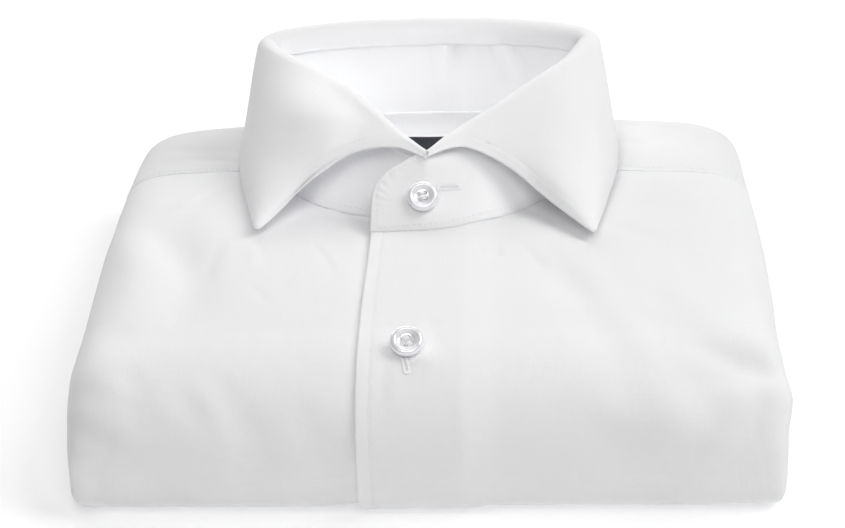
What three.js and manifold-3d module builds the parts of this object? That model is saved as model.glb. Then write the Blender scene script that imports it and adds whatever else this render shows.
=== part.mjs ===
// A folded dress shirt, lying front up with its collar standing, in millimetres, +Z up.
// +X is to the right of someone who looks at the shirt front, and +Y runs from the front fold to the collar.
// The shirt is folded as in a shop: the sides and sleeves are turned behind, and the tail is folded up under them.
import * as THREE from "three";
import { mergeVertices } from "three/addons/utils/BufferGeometryUtils.js";
import Module from "manifold-3d";

const wasm = await Module();
wasm.setup();

// ---- Driving dimensions ----
const HALF_WIDTH = 123; // half the folded width, at the widest of the side folds
const PIVOT_Z = 17; // height of the slot between the shirt's body and the tail folded under it
const FRONT_PIVOT_Y = -75; // centre of the front fold
const FRONT_REACH = 47; // from that centre to the front of the fold
const BACK_PIVOT_Y = 100; // centre of the fold at the shoulders
const BACK_REACH = 20;
const YOKE_SEAM_Y = 53; // seam between the yoke and the fronts
const SEAM_TILT = 0.024; // that seam comes forward by this much for each unit to the right
const HEM_Y = 55; // the tail's hem, on the underside
const YOKE_END_Y = 80; // where the turned-under yoke ends, on the underside
const CENTRE = { x: 0, y: -2.48 }; // middle of the whole shirt in the coordinates used below

const CLOTH = 1.5; // wall of the fronts and yoke
const BAND = 2; // wall of the interlined collar
const GAP = 0.4; // between neighbouring pieces
const RAISE = CLOTH + GAP; // the upper front lies this much above the lower one
const UNDERLAP = 34; // how far the lower front reaches under the upper one
const CORE_GAP = 2.75; // from the outside of the fronts and yoke to the folded layers under them
const NECK_DIP = 3.4; // how far the hidden layers lie lower under the neck

const LIP = { front: 1.2, back: 4.2 }; // depth of the leaf's seam inside the neck, under the fold
const ROLL = { front: 1.4, back: 2.4 }; // radius of the collar's fold, at the middle of the wall

// Top of the body along its middle.
const TOP_LINE = [
  { y: -75, z: 45.4 },
  { y: -50, z: 46.5 },
  { y: -5, z: 47 },
  { y: 50, z: 47 },
  { y: 100, z: 44.8 },
];
// Half the folded width along the length, on the left and right.
const WIDTH = [
  { y: -122, left: 120.5, right: 121 },
  { y: -100, left: 122, right: 121.5 },
  { y: -60, left: 122.3, right: 122.2 },
  { y: 0, left: 123, right: 123 },
  { y: 70, left: 122.3, right: 122 },
  { y: 100, left: 121.3, right: 121 },
  { y: 121, left: 117, right: 119 },
];
// How much lower the top lies at the sides than in the middle, as a share of its height over the slot.
const CROWN = [
  { y: -75, drop: 0.04 },
  { y: -10, drop: 0.05 },
  { y: 54, drop: 0.09 },
  { y: 100, drop: 0.21 },
];
// The side fold, from the flat top down to the slot: off is sideways from the widest point, depth is the share of
// the height between top and slot.
const SIDE_FOLD = [
  { at: 0.0, off: -24, depth: 0 },
  { at: 0.12, off: -16, depth: 0.012 },
  { at: 0.24, off: -9.5, depth: 0.055 },
  { at: 0.36, off: -4.6, depth: 0.14 },
  { at: 0.48, off: -1.4, depth: 0.27 },
  { at: 0.6, off: 0, depth: 0.43 },
  { at: 0.72, off: -0.6, depth: 0.59 },
  { at: 0.84, off: -2.8, depth: 0.72 },
  { at: 1.0, off: -10, depth: 0.79 },
];
// The edges of the hidden layers, which show in the slot.
const LAYER_EDGE = [
  { off: -13, depth: 0.8 },
  { off: -6.5, depth: 0.83 },
  { off: -4.6, depth: 0.9 },
  { off: -6.5, depth: 0.965 },
  { off: -13, depth: 1 },
];
// Free edge of the upper front: run is the distance along the cloth from the yoke seam.
const FRONT_EDGE = [
  { run: 0, x: -22 },
  { run: 80, x: -22 },
  { run: 128, x: -22.6 },
  { run: 185, x: -22 },
  { run: 239, x: -20 },
  { run: 370, x: -20 },
];
// The largest soft folds of the fronts: run as above, turn is the angle of its length from the x axis in degrees.
const SOFT_FOLDS = [
  { x: -88, run: 75, long: 34, wide: 9, turn: -76, lift: -1.7 },
  { x: -106, run: 72, long: 30, wide: 9, turn: -80, lift: 1.2 },
  { x: -96, run: 158, long: 30, wide: 9, turn: -35, lift: -1.6 },
  { x: -112, run: 138, long: 20, wide: 8, turn: -35, lift: 1.3 },
  { x: -68, run: 166, long: 24, wide: 8, turn: -50, lift: -1.2 },
  { x: 62, run: 108, long: 40, wide: 10, turn: -52, lift: -1.5 },
  { x: 84, run: 150, long: 34, wide: 9, turn: -42, lift: -1.6 },
  { x: 100, run: 124, long: 26, wide: 9, turn: -30, lift: 1.3 },
  { x: 104, run: 146, long: 16, wide: 7, turn: 12, lift: -1.8 },
];
const CORNER_LIFT = 4.5; // the right front corner stands out by this much

// The collar, for its right half, from the front centre (s = 0) to the back centre (s = 1), both about the middle of
// the collar: the neck seam, the fold line, and the free edge of the leaf.
// shift moves both halves sideways, and skew brings the right half forward and the left half back.
const COLLAR_CENTRE_X = -2.5;
const NECK_SEAM = [
  { s: 0, x: 0, y: -4.5 },
  { s: 0.07, x: 12, y: -1.5 },
  { s: 0.15, x: 25, y: 6.5 },
  { s: 0.23, x: 38, y: 16.5 },
  { s: 0.33, x: 50, y: 30 },
  { s: 0.43, x: 59, y: 46 },
  { s: 0.53, x: 63.5, y: 63 },
  { s: 0.64, x: 61, y: 81 },
  { s: 0.76, x: 49, y: 93.5 },
  { s: 0.88, x: 26, y: 98.8 },
  { s: 1, x: 0, y: 100 },
];
const FOLD_LINE = [
  { s: 0, x: 0, y: 18.5, z: 71, shift: 1 },
  { s: 0.07, x: 8, y: 26.5, z: 72, shift: 0.5 },
  { s: 0.12, x: 13.5, y: 32.5, z: 73.2, shift: 1 },
  { s: 0.21, x: 23.5, y: 42, z: 77, shift: 3 },
  { s: 0.31, x: 37, y: 54.5, z: 82, shift: 4 },
  { s: 0.42, x: 52, y: 67.5, z: 85.8, shift: 2.5 },
  { s: 0.5, x: 59.5, y: 77, z: 87.8, shift: 0.5 },
  { s: 0.56, x: 62.8, y: 84.5, z: 89, shift: 0 },
  { s: 0.64, x: 57.5, y: 90.5, z: 89.5, shift: 0 },
  { s: 0.72, x: 45, y: 94.5, z: 89.8, shift: 0 },
  { s: 0.86, x: 24, y: 98, z: 90, shift: 0 },
  { s: 1, x: 0, y: 99.2, z: 90, shift: 0 },
];
const LEAF_EDGE = [
  { s: 0, x: 3, y: 15, z: 68.8, shift: 0, skew: 0 },
  { s: 0.06, x: 11, y: 22, z: 69.5, shift: 0, skew: 0 },
  { s: 0.14, x: 22, y: 23.5, z: 67.5, shift: -3, skew: 0 },
  { s: 0.2, x: 33.5, y: 20, z: 62.5, shift: -3, skew: 0 },
  { s: 0.28, x: 47.5, y: 10, z: 55, shift: -3, skew: -0.5 },
  { s: 0.36, x: 61.5, y: -8, z: 50, shift: 0, skew: -2.7 },
  { s: 0.45, x: 66.5, y: 18, z: 50.2, shift: 0, skew: -1.5 },
  { s: 0.56, x: 71.5, y: 48, z: 50.5, shift: 0, skew: 0 },
  { s: 0.66, x: 71, y: 82, z: 50.5, shift: 0, skew: 0 },
  { s: 0.76, x: 61, y: 103, z: 49.3, shift: 0, skew: 0 },
  { s: 0.88, x: 32, y: 110, z: 48, shift: 0, skew: 0 },
  { s: 1, x: 0, y: 111.5, z: 47.6, shift: 0, skew: 0 },
];
const LOWER_BACK = 5; // how much further back the lower front's half of the band runs at the centre

const STAND_END = 19.5; // the buttoned end of the stand reaches this far past the front centre
const STAND_END_HEIGHT = 0.42; // share of the stand's height that is left at its rounded end

const LEAF_BELLY = 0.01; // how far the leaf bows out, as a share of its depth
const LABEL = { wide: 52, long: 26, thick: 1, y: 78 };
const BUTTON = { radius: 5.75, thick: 3, dish: 3.7, dishDepth: 1.1, hole: 0.75, holeAt: 1.55 };
const COLLAR_BUTTON_X = -3.5; // sideways place of the collar's button
const COLLAR_BUTTON_UP = 0.45; // its place up the stand, as a share of the height
const FRONT_BUTTON = { x: -6, turn: 74, tip: 24 }; // its place round the front fold, and its lean on its threads

// ---- Small helpers ----
const lerp = (a, b, t) => a + (b - a) * t;
const clamp = (t) => Math.min(1, Math.max(0, t));
const smooth = (t) => clamp(t) ** 2 * (3 - 2 * clamp(t));
const steps = (from, to, count) => Array.from({ length: count + 1 }, (_, i) => lerp(from, to, i / count));
const radians = (degrees) => (degrees * Math.PI) / 180;

// Reads one column of a table, along a smooth curve through its rows.
function read(table, key, at, column) {
  const last = table.length - 1;
  const value = clamp((at - table[0][key]) / (table[last][key] - table[0][key]));
  const where = lerp(table[0][key], table[last][key], value);
  let i = 0;
  while (i < last - 1 && where > table[i + 1][key]) i++;
  const row = (n) => table[Math.min(last, Math.max(0, n))];
  const slope = (n) => {
    const [a, b] = [row(n - 1), row(n + 1)];
    return (b[column] - a[column]) / (b[key] - a[key]);
  };
  const width = row(i + 1)[key] - row(i)[key];
  const t = (where - row(i)[key]) / width;
  const [p, q] = [row(i)[column], row(i + 1)[column]];
  const [m, n] = [slope(i) * width, slope(i + 1) * width];
  return (2 * t ** 3 - 3 * t ** 2 + 1) * p + (t ** 3 - 2 * t ** 2 + t) * m
    + (3 * t ** 2 - 2 * t ** 3) * q + (t ** 3 - t ** 2) * n;
}

// Unit normals of a grid of points, on the side of (next row) x (next column).
function gridNormals(grid) {
  const rows = grid.length;
  return grid.map((line, i) => line.map((_, j) => {
    const across = grid[Math.min(rows - 1, i + 1)][j].clone().sub(grid[Math.max(0, i - 1)][j]);
    const along = line[Math.min(line.length - 1, j + 1)].clone().sub(line[Math.max(0, j - 1)]);
    return across.cross(along).normalize();
  }));
}

function geometryOf(positions, indices) {
  const raw = new THREE.BufferGeometry();
  raw.setAttribute("position", new THREE.Float32BufferAttribute(positions, 3));
  raw.setIndex(indices);
  const merged = mergeVertices(raw, 1e-3);
  const all = merged.index.array;
  const kept = [];
  for (let i = 0; i < all.length; i += 3) {
    const [a, b, c] = [all[i], all[i + 1], all[i + 2]];
    if (a !== b && b !== c && c !== a) kept.push(a, b, c);
  }
  merged.setIndex(kept);
  return merged;
}

// The two triangles of each cell of a grid whose points start at a given index; turned faces the other way.
function gridFaces(rows, columns, start, turned) {
  const faces = [];
  for (let i = 0; i < rows - 1; i++)
    for (let j = 0; j < columns - 1; j++) {
      const [a, b] = [start + i * columns + j, start + (i + 1) * columns + j];
      if (turned) faces.push(a, a + 1, b, b, a + 1, b + 1);
      else faces.push(a, b, a + 1, b, b + 1, a + 1);
    }
  return faces;
}

// A wall of cloth: outer and inner are grids of the same size, joined round their rim.
function wall(outer, inner) {
  const [rows, columns] = [outer.length, outer[0].length];
  const size = rows * columns;
  const positions = [...outer.flat(), ...inner.flat()].flatMap((p) => [p.x, p.y, p.z]);
  const indices = [...gridFaces(rows, columns, 0, false), ...gridFaces(rows, columns, size, true)];
  const rim = [
    ...steps(0, columns - 1, columns - 1).map((j) => j),
    ...steps(1, rows - 1, rows - 2).map((i) => i * columns + columns - 1),
    ...steps(columns - 2, 0, columns - 2).map((j) => (rows - 1) * columns + j),
    ...steps(rows - 2, 1, rows - 3).map((i) => i * columns),
  ].map(Math.round);
  rim.forEach((a, k) => {
    const b = rim[(k + 1) % rim.length];
    indices.push(a, b, a + size, b, b + size, a + size);
  });
  return geometryOf(positions, indices);
}

// A wall whose inner side lies a distance behind its outer side.
function clothWall(outer, thickness) {
  const normals = gridNormals(outer);
  const inner = outer.map((line, i) => line.map((p, j) => p.clone().addScaledVector(normals[i][j], -thickness)));
  return wall(outer, inner);
}

// ---- The folded body ----
const halfWidth = (y, side) => read(WIDTH, "y", y, side > 0 ? "right" : "left");
const topHeight = (y) => read(TOP_LINE, "y", y, "z") - PIVOT_Z;

// Stations run round the body: along the top, round the front or back fold, and along the underside.
const topStation = (y) => ({ part: "top", y, turn: 90 });
const frontStation = (turn) => ({ part: "front", y: FRONT_PIVOT_Y, turn });
const underStation = (y) => ({ part: "under", y, turn: -90 });
const backStation = (turn) => ({ part: "back", y: BACK_PIVOT_Y, turn });

// Distance along the cloth from the yoke seam, which places the free edge and the soft folds.
const FRONT_FOLD_RUN = 111; // along the cloth round the front fold
function runOf(station) {
  if (station.part === "top" || station.part === "back") return YOKE_SEAM_Y - station.y;
  const toFold = YOKE_SEAM_Y - FRONT_PIVOT_Y;
  if (station.part === "front") return toFold + FRONT_FOLD_RUN * (90 - station.turn) / 180;
  return toFold + FRONT_FOLD_RUN + station.y - FRONT_PIVOT_Y;
}

// The station's outer point over its pivot, as y and z from the pivot. A larger power is a squarer fold.
function reachOf(station, x) {
  const height = topHeight(station.y);
  if (station.part === "top") return { y: 0, z: height };
  if (station.part === "under") return { y: 0, z: -PIVOT_Z };
  const toFront = station.part === "front";
  const right = smooth((x - 40) / 60);
  const left = smooth((-x - 40) / 60);
  const upper = toFront ? 2.05 + 0.5 * right + 0.15 * left : 2.1;
  const lower = toFront ? 6.5 : 2.6;
  const power = 2 / (station.turn > 0 ? upper : lower);
  const angle = radians(station.turn);
  const side = toFront ? -FRONT_REACH - 1.2 * (1 - (x / HALF_WIDTH) ** 2) - 1.2 * right : BACK_REACH;
  const vertical = station.turn > 0 ? height : PIVOT_Z;
  return {
    y: side * Math.abs(Math.cos(angle)) ** power,
    z: Math.sign(station.turn) * vertical * Math.abs(Math.sin(angle)) ** power,
  };
}

// Height of the soft folds over the plain cloth.
function softFolds(x, run) {
  return SOFT_FOLDS.reduce((sum, fold) => {
    const angle = radians(fold.turn);
    const [dx, dy] = [x - fold.x, fold.run - run];
    const along = (dx * Math.cos(angle) + dy * Math.sin(angle)) / fold.long;
    const across = (-dx * Math.sin(angle) + dy * Math.cos(angle)) / fold.wide;
    return sum + fold.lift * Math.exp(-(along ** 2) - across ** 2);
  }, 0);
}

// How far a station is under the front fold: 0 on top and 1 on the underside.
const under = (station) => (station.part === "back" ? 0 : smooth((20 - station.turn) / 100));

// The side folds are tighter at the front's right corner and lower edge.
function squareness(station, side) {
  if (station.part === "back") return 1;
  const front = smooth((-50 - station.y) / 25);
  const low = smooth((30 - station.turn) / 60);
  return lerp(1, side > 0 ? 0.55 : 0.8, front) * lerp(1, 0.4, low * front);
}

// A point of the body's outer side. place says where across: x on the flat part, or off and depth on a side fold.
function bodyPoint(station, place) {
  const side = Math.sign(place.side ?? place.x) || 1;
  const reach = reachOf(station, place.x ?? side * HALF_WIDTH);
  const [beyond, square] = place.bare ? [0, 1] : [reach.y, squareness(station, side)];
  const x = place.x ?? side * (halfWidth(station.y + beyond, side) + place.off * square);
  const length = Math.hypot(reach.y, reach.z);
  const share = Math.min(1, Math.abs(x) / HALF_WIDTH);
  const upper = station.part === "under" ? 0 : smooth(station.turn / 60);
  const crown = read(CROWN, "y", station.y, "drop") * upper * share ** 4;
  const depth = place.depth ?? 0;
  const fades = 1 - smooth(depth / 0.5);
  const folds = station.part === "back" ? 0 : softFolds(x, runOf(station)) * (1 - under(station));
  const lift = folds * fades;
  const corner = side > 0 && station.part === "front" ? CORNER_LIFT * smooth((share - 0.9) / 0.1) : 0;
  const raised = corner * Math.exp(-(((station.turn - 52) / 20) ** 2)) * (1 - depth);
  const more = (lift + raised) / length;
  const tighten = place.bare ? 1 : { front: 0.35, back: 0.6 }[station.part] ?? 1;
  const nearSeam = station.part === "top" ? 1 - smooth(Math.abs(station.y - YOKE_SEAM_Y) / 34) : 0;
  return new THREE.Vector3(
    x + raised * 0.7,
    station.y + reach.y * ((1 - crown) * (1 - depth) ** tighten + more) - SEAM_TILT * x * nearSeam * (1 - depth),
    PIVOT_Z + reach.z * ((1 - crown) * (1 - depth) + more),
  );
}

const flatEdge = (station, side) => {
  const y = station.y + reachOf(station, side * HALF_WIDTH).y;
  return side * (halfWidth(y, side) + SIDE_FOLD[0].off * squareness(station, side));
};
const foldPlaces = (side, count) => steps(0, 1, count).slice(1).map((at) => ({
  side,
  off: read(SIDE_FOLD, "at", at, "off"),
  depth: read(SIDE_FOLD, "at", at, "depth"),
}));

const FRONT_TURNS = [90, 78, 66, 54, 42, 30, 18, 6, -8, -25, -45, -68, -90];
const BACK_TURNS = steps(90, -90, 9);
const FRONT_STATIONS = [
  ...steps(YOKE_SEAM_Y - GAP / 2, FRONT_PIVOT_Y, 11).map(topStation),
  ...FRONT_TURNS.slice(1, -1).map(frontStation),
  ...steps(FRONT_PIVOT_Y, HEM_Y, 3).map(underStation),
];
const YOKE_STATIONS = [
  ...steps(YOKE_END_Y, BACK_PIVOT_Y, 1).map(underStation),
  ...BACK_TURNS.slice(1, -1).toReversed().map(backStation),
  ...steps(BACK_PIVOT_Y, YOKE_SEAM_Y + GAP / 2, 5).map(topStation),
];
const SIDE_COUNT = 8;
const frontEdge = (station) => read(FRONT_EDGE, "run", runOf(station), "x");

// How far the upper front is lifted over the lower one at x, and the lower one is pressed in on the underside.
const overlap = (station, x) => 1 - smooth((x - frontEdge(station) - UNDERLAP) / 14);

// Moves the points of a grid along its normals, by an amount that depends on the row and the place in it.
function moved(grid, amount) {
  const normals = gridNormals(grid);
  return grid.map((line, i) => line.map((p, j) => p.clone().addScaledVector(normals[i][j], amount(i, j))));
}

function upperFront() {
  const rows = FRONT_STATIONS.map((station) => {
    const [edge, end] = [frontEdge(station), frontEdge(station) + UNDERLAP];
    const columns = [...steps(edge, end, 3), ...steps(end + 7, flatEdge(station, 1), 8)];
    return [...columns.map((x) => bodyPoint(station, { x })),
      ...foldPlaces(1, SIDE_COUNT).map((place) => bodyPoint(station, place))];
  });
  const lifted = moved(rows, (i, j) =>
    RAISE * overlap(FRONT_STATIONS[i], rows[i][j].x) * (1 - under(FRONT_STATIONS[i])));
  return clothWall(lifted, CLOTH);
}

function lowerFront() {
  const rows = FRONT_STATIONS.map((station) => {
    const free = frontEdge(station);
    const flat = [...steps(flatEdge(station, -1), free - 9, 7), free - 5, ...steps(free - 1.5, free + UNDERLAP, 3)];
    return [...foldPlaces(-1, SIDE_COUNT).toReversed().map((place) => bodyPoint(station, place)),
      ...flat.map((x) => bodyPoint(station, { x }))];
  });
  const pressed = moved(rows, (i, j) =>
    -RAISE * smooth((rows[i][j].x - frontEdge(FRONT_STATIONS[i]) + 9) / 7) * under(FRONT_STATIONS[i]));
  return clothWall(pressed, CLOTH);
}

function yokeWall() {
  const rows = YOKE_STATIONS.map((station) => [
    ...foldPlaces(-1, SIDE_COUNT).toReversed(),
    ...steps(flatEdge(station, -1), flatEdge(station, 1), 14).map((x) => ({ x })),
    ...foldPlaces(1, SIDE_COUNT),
  ].map((place) => bodyPoint(station, place)));
  return clothWall(rows, CLOTH);
}

// Where the neck is, 1 inside it and 0 well outside.
const neckArea = (x, y) => {
  const away = Math.hypot((x - COLLAR_CENTRE_X) / 88, (y - 48) / 78);
  return 1 - smooth((away - 0.82) / 0.2);
};

const CORE_COLUMNS = [-91, -83, -70, -50, -28, -8, 12, 32, 50, 62, 74, 88];

// The back, sleeves, cuffs and tail, folded inside the fronts: one solid whose layers show in the slot at the sides.
function foldedLayers() {
  const tops = [FRONT_PIVOT_Y, -56, -40, -24, -10, 4, 20, 40, 60, 80, 91, BACK_PIVOT_Y];
  const stations = [
    ...tops.map(topStation),
    ...BACK_TURNS.slice(1, -1).map(backStation),
    ...tops.toReversed().map(underStation),
    ...FRONT_TURNS.toReversed().slice(1, -1).map(frontStation),
  ];
  const layers = (side) => LAYER_EDGE.map((row) => ({ side, ...row, bare: true }));
  const places = stations.map((station) => [
    ...[...foldPlaces(-1, 6), ...layers(-1)].toReversed(),
    ...[flatEdge(station, -1), ...CORE_COLUMNS, flatEdge(station, 1)].map((x) => ({ x })),
    ...foldPlaces(1, 6),
    ...layers(1),
  ]);
  const outer = stations.map((station, i) => places[i].map((place) => bodyPoint(station, place)));
  const inset = moved([outer.at(-1), ...outer, outer[0]], (row, j) => {
    const i = (row - 1 + stations.length) % stations.length;
    const place = places[i][j];
    if (place.bare) return 0;
    const p = outer[i][j];
    const free = frontEdge(stations[i]);
    const doubled = smooth((p.x - free + 16) / 7) * (1 - smooth((p.x - free - UNDERLAP - 6) / 12));
    const pressed = stations[i].part === "back" ? 0 : RAISE * doubled * under(stations[i]);
    return CORE_GAP + pressed + (stations[i].part === "top" ? NECK_DIP * neckArea(p.x, p.y) : 0);
  }).slice(1, -1);
  const closed = [...inset, inset[0]];
  const positions = closed.flat().flatMap((p) => [p.x, p.y, p.z]);
  return geometryOf(positions, gridFaces(closed.length, closed[0].length, 0, true));
}

// ---- The collar ----
const topAt = (x, y) => bodyPoint(topStation(Math.min(y, BACK_PIVOT_Y)), { x }).z;

const collarPoint = (table, s, side) => {
  const column = (name) => (table[0][name] === undefined ? 0 : read(table, "s", s, name));
  return new THREE.Vector3(
    COLLAR_CENTRE_X + side * column("x") + column("shift"),
    column("y") + side * column("skew"),
    column("z"),
  );
};

// Places along the band, from its lower end at the front, round the back, to its upper end at the front: s is the
// collar's own measure, side the half, under how far it lies inside the upper end, and past how far beyond s = 0.
const RING_S = [0, 0.035, 0.07, 0.11, 0.15, 0.2, 0.26, 0.32, 0.36, 0.4, 0.45, 0.5, 0.53, 0.56, 0.59, 0.62, 0.66,
  0.72, 0.8, 0.9, 1];
const lowerPlace = (s) => ({ s, side: -1, under: 1 - smooth((s - 0.1) / 0.16), past: 0 });
const BAND_RING = [
  ...[0.11, 0.07, 0.035].map((s) => ({ s, side: 1, under: 1, past: 0 })),
  ...RING_S.map(lowerPlace),
  ...RING_S.toReversed().slice(1).map((s) => ({ s, side: 1, under: 0, past: 0 })),
  ...steps(0, 90, 7).slice(1).map((turn) => (
    { s: 0, side: 1, under: 0, past: STAND_END * Math.sin(radians(turn)) ** 0.85 })),
];
const LEAF_RING = [
  { s: 0.045, side: -1 },
  ...RING_S.slice(2).map((s) => ({ s, side: -1 })),
  ...RING_S.toReversed().slice(1, -1).map((s) => ({ s, side: 1 })),
  { s: 0.012, side: 1 },
];

// The frame of the band at a place: up along it, out from the neck, and its fold.
function bandFrame({ s, side, under = 0, past = 0 }) {
  const base = collarPoint(NECK_SEAM, s, side);
  const fold = collarPoint(FOLD_LINE, s, side);
  const lower = side < 0 ? 1 - smooth((s - 0.03) / 0.3) : under;
  base.x -= past;
  fold.x -= past;
  base.y += LOWER_BACK * lower - 0.05 * past;
  const lifted = lower > 0 ? 0 : RAISE * overlap(topStation(base.y), base.x - 4);
  base.z = topAt(base.x, base.y) + lifted + GAP;
  const up = fold.clone().sub(base).normalize();
  const [before, after] = [Math.max(0, s - 0.02), Math.min(1, s + 0.02)];
  const run = (table) => collarPoint(table, after, side).sub(collarPoint(table, before, side)).setZ(0);
  const straight = new THREE.Vector3(1, 0, 0);
  const ahead = (table) => {
    if (s > 0.98) return straight.clone().multiplyScalar(-side);
    const at = past > 0 ? 0 : smooth(s / 0.06);
    return straight.clone().multiplyScalar(side * (1 - at)).addScaledVector(run(table).normalize(), at);
  };
  const out = ahead(FOLD_LINE).cross(up).multiplyScalar(side).normalize();
  const level = ahead(NECK_SEAM).cross(new THREE.Vector3(0, 0, 1)).multiplyScalar(side).normalize();
  const roll = lerp(ROLL.front, ROLL.back, smooth(s / 0.2));
  const centre = fold.clone().addScaledVector(up, -roll - BAND / 2);
  const lip = lerp(LIP.front, LIP.back, smooth(s / 0.2));
  return { base, up, out, level, roll, centre, lip };
}

// A point of the stand, 0 to 1 up it, away from the middle of its wall by an amount outwards.
function standPoint(place, share, away) {
  const { base, up, out, level, roll, centre, lip } = bandFrame(place);
  const top = centre.clone().addScaledVector(out, -roll).addScaledVector(up, -lip - GAP - 0.5);
  const end = place.past > 0 ? Math.sqrt(Math.max(0, 1 - (place.past / STAND_END) ** 2.2)) : 1;
  const tall = lerp(STAND_END_HEIGHT, 1, end);
  const lean = 1 / Math.max(0.5, out.dot(level));
  const shift = level.clone().multiplyScalar(lean * (1 - share)).addScaledVector(out, share);
  const point = base.clone().addScaledVector(level, -roll * 0.5 * lean).lerp(top, share * tall);
  const inside = (BAND + GAP + 0.3) * place.under;
  return point.addScaledVector(shift, away - inside);
}

function stand() {
  const shares = [0, 0.3, 0.6, 0.85, 1];
  const side = (away) => BAND_RING.map((place) => shares.map((share) => standPoint(place, share, away)));
  return wall(side(-BAND / 2), side(BAND / 2));
}

// The middle of the leaf's wall, from its seam inside the neck, over the fold, and down to its free edge.
function leafLine(place) {
  const { up, out, roll, centre, lip } = bandFrame(place);
  const edge = collarPoint(LEAF_EDGE, place.s, place.side);
  const seam = centre.clone().addScaledVector(out, -roll).addScaledVector(up, -lip);
  const turned = steps(180, 25, 4).map((turn) => centre.clone()
    .addScaledVector(out, roll * Math.cos(radians(turn)))
    .addScaledVector(up, roll * Math.sin(radians(turn))));
  const start = turned.at(-1);
  const fall = edge.clone().sub(start);
  const belly = LEAF_BELLY * fall.length() * smooth((place.s - 0.1) / 0.3);
  const face = steps(0, 1, 6).slice(1).map((t) => start.clone()
    .addScaledVector(fall, t)
    .addScaledVector(out, belly * Math.sin(Math.PI * t ** 0.8)));
  return [seam, ...turned, ...face];
}

function leaf() {
  const middle = LEAF_RING.map(leafLine);
  const normals = gridNormals(middle);
  const side = (away) => middle.map((line, i) =>
    line.map((p, j) => p.clone().addScaledVector(normals[i][j], away)));
  return wall(side(BAND / 2), side(-BAND / 2));
}

// ---- Inside the neck ----
function neckRing(scale) {
  const centre = new THREE.Vector3(COLLAR_CENTRE_X, 52, 0);
  const half = (side) => steps(0, 1, 14).map((s) => collarPoint(NECK_SEAM, s, side));
  return [...half(-1), ...half(1).toReversed().slice(1, -1)]
    .map((p) => p.sub(centre).multiplyScalar(scale).add(centre));
}

const floorZ = (p, share) => topAt(p.x, p.y) - RAISE - 0.1 - 2.2 * (1 - share ** 2);

// The yoke's inside, which shows through the neck.
function yokeInside() {
  const shares = [1.03, 0.8, 0.5];
  const rings = shares.map((share) => neckRing(share).map((p) => {
    p.y = Math.min(p.y, BACK_PIVOT_Y - 1.5);
    return p.setZ(floorZ(p, Math.min(1, share)));
  }));
  const middle = neckRing(0.001)[0];
  middle.z = floorZ(middle, 0);
  const count = rings[0].length;
  const positions = [];
  const thickness = 1.2;
  for (const drop of [0, thickness]) {
    rings.flat().forEach((p) => positions.push(p.x, p.y, p.z - drop));
    positions.push(middle.x, middle.y, middle.z - drop);
  }
  const size = rings.length * count + 1;
  const indices = [];
  const face = (a, b, c, top) => indices.push(...(top ? [a, c, b] : [a + size, b + size, c + size]));
  for (const top of [true, false])
    for (let k = 0; k < count; k++) {
      const next = (k + 1) % count;
      for (let r = 0; r < rings.length - 1; r++) {
        const [a, b, c, d] = [r * count + k, r * count + next, (r + 1) * count + k, (r + 1) * count + next];
        face(a, b, c, top);
        face(b, d, c, top);
      }
      face((rings.length - 1) * count + k, (rings.length - 1) * count + next, size - 1, top);
    }
  for (let k = 0; k < count; k++) {
    const next = (k + 1) % count;
    indices.push(k, next, k + size, next, next + size, k + size);
  }
  return geometryOf(positions, indices);
}

function label() {
  const share = (x, y) => Math.min(1, Math.hypot((x - COLLAR_CENTRE_X) / 62, (y - 52) / 52));
  const rows = steps(LABEL.y + LABEL.long / 2, LABEL.y - LABEL.long / 2, 4).map((y) =>
    steps(-LABEL.wide / 2, LABEL.wide / 2, 6).map((dx) => {
      const x = COLLAR_CENTRE_X + dx;
      return new THREE.Vector3(x, y, floorZ({ x, y }, share(x, y)) + 0.6 + LABEL.thick);
    }));
  const under_ = rows.map((line) => line.map((p) => p.clone().setZ(p.z - LABEL.thick)));
  return wall(rows, under_);
}

// ---- Cutting ----
function solidFrom(geometry) {
  const bare = geometry.clone();
  for (const name of Object.keys(bare.attributes)) if (name !== "position") bare.deleteAttribute(name);
  const merged = mergeVertices(bare, 1e-3);
  return new wasm.Manifold(new wasm.Mesh({
    numProp: 3,
    vertProperties: merged.attributes.position.array,
    triVerts: new Uint32Array(merged.index.array),
  }));
}

function geometryFrom(solid) {
  const mesh = solid.getMesh();
  const geometry = new THREE.BufferGeometry();
  geometry.setAttribute("position", new THREE.Float32BufferAttribute(mesh.vertProperties, 3));
  geometry.setIndex([...mesh.triVerts]);
  return geometry;
}

// An upright prism over an outline, for cutting the neckline.
function prism(outline) {
  const shape = new THREE.Shape(outline.map((p) => new THREE.Vector2(p.x, p.y)));
  const geometry = new THREE.ExtrudeGeometry(shape, { depth: 60, bevelEnabled: false });
  geometry.translate(0, 0, PIVOT_Z + 8);
  return solidFrom(geometry);
}

const NECK_HOLE = 0.955; // the neckline lies inside the neck seam, under the stand

function cutNeck(geometry, extra) {
  let cutter = prism(neckRing(NECK_HOLE));
  if (extra) cutter = cutter.add(prism(extra));
  return geometryFrom(solidFrom(geometry).subtract(cutter));
}

// The upper front's neckline runs straight on under the buttoned end of the stand.
const UPPER_NECK_CORNER = [
  new THREE.Vector2(-34, 1.2),
  new THREE.Vector2(-2, 1.2),
  new THREE.Vector2(-2, 24),
  new THREE.Vector2(-34, 24),
];

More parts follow.
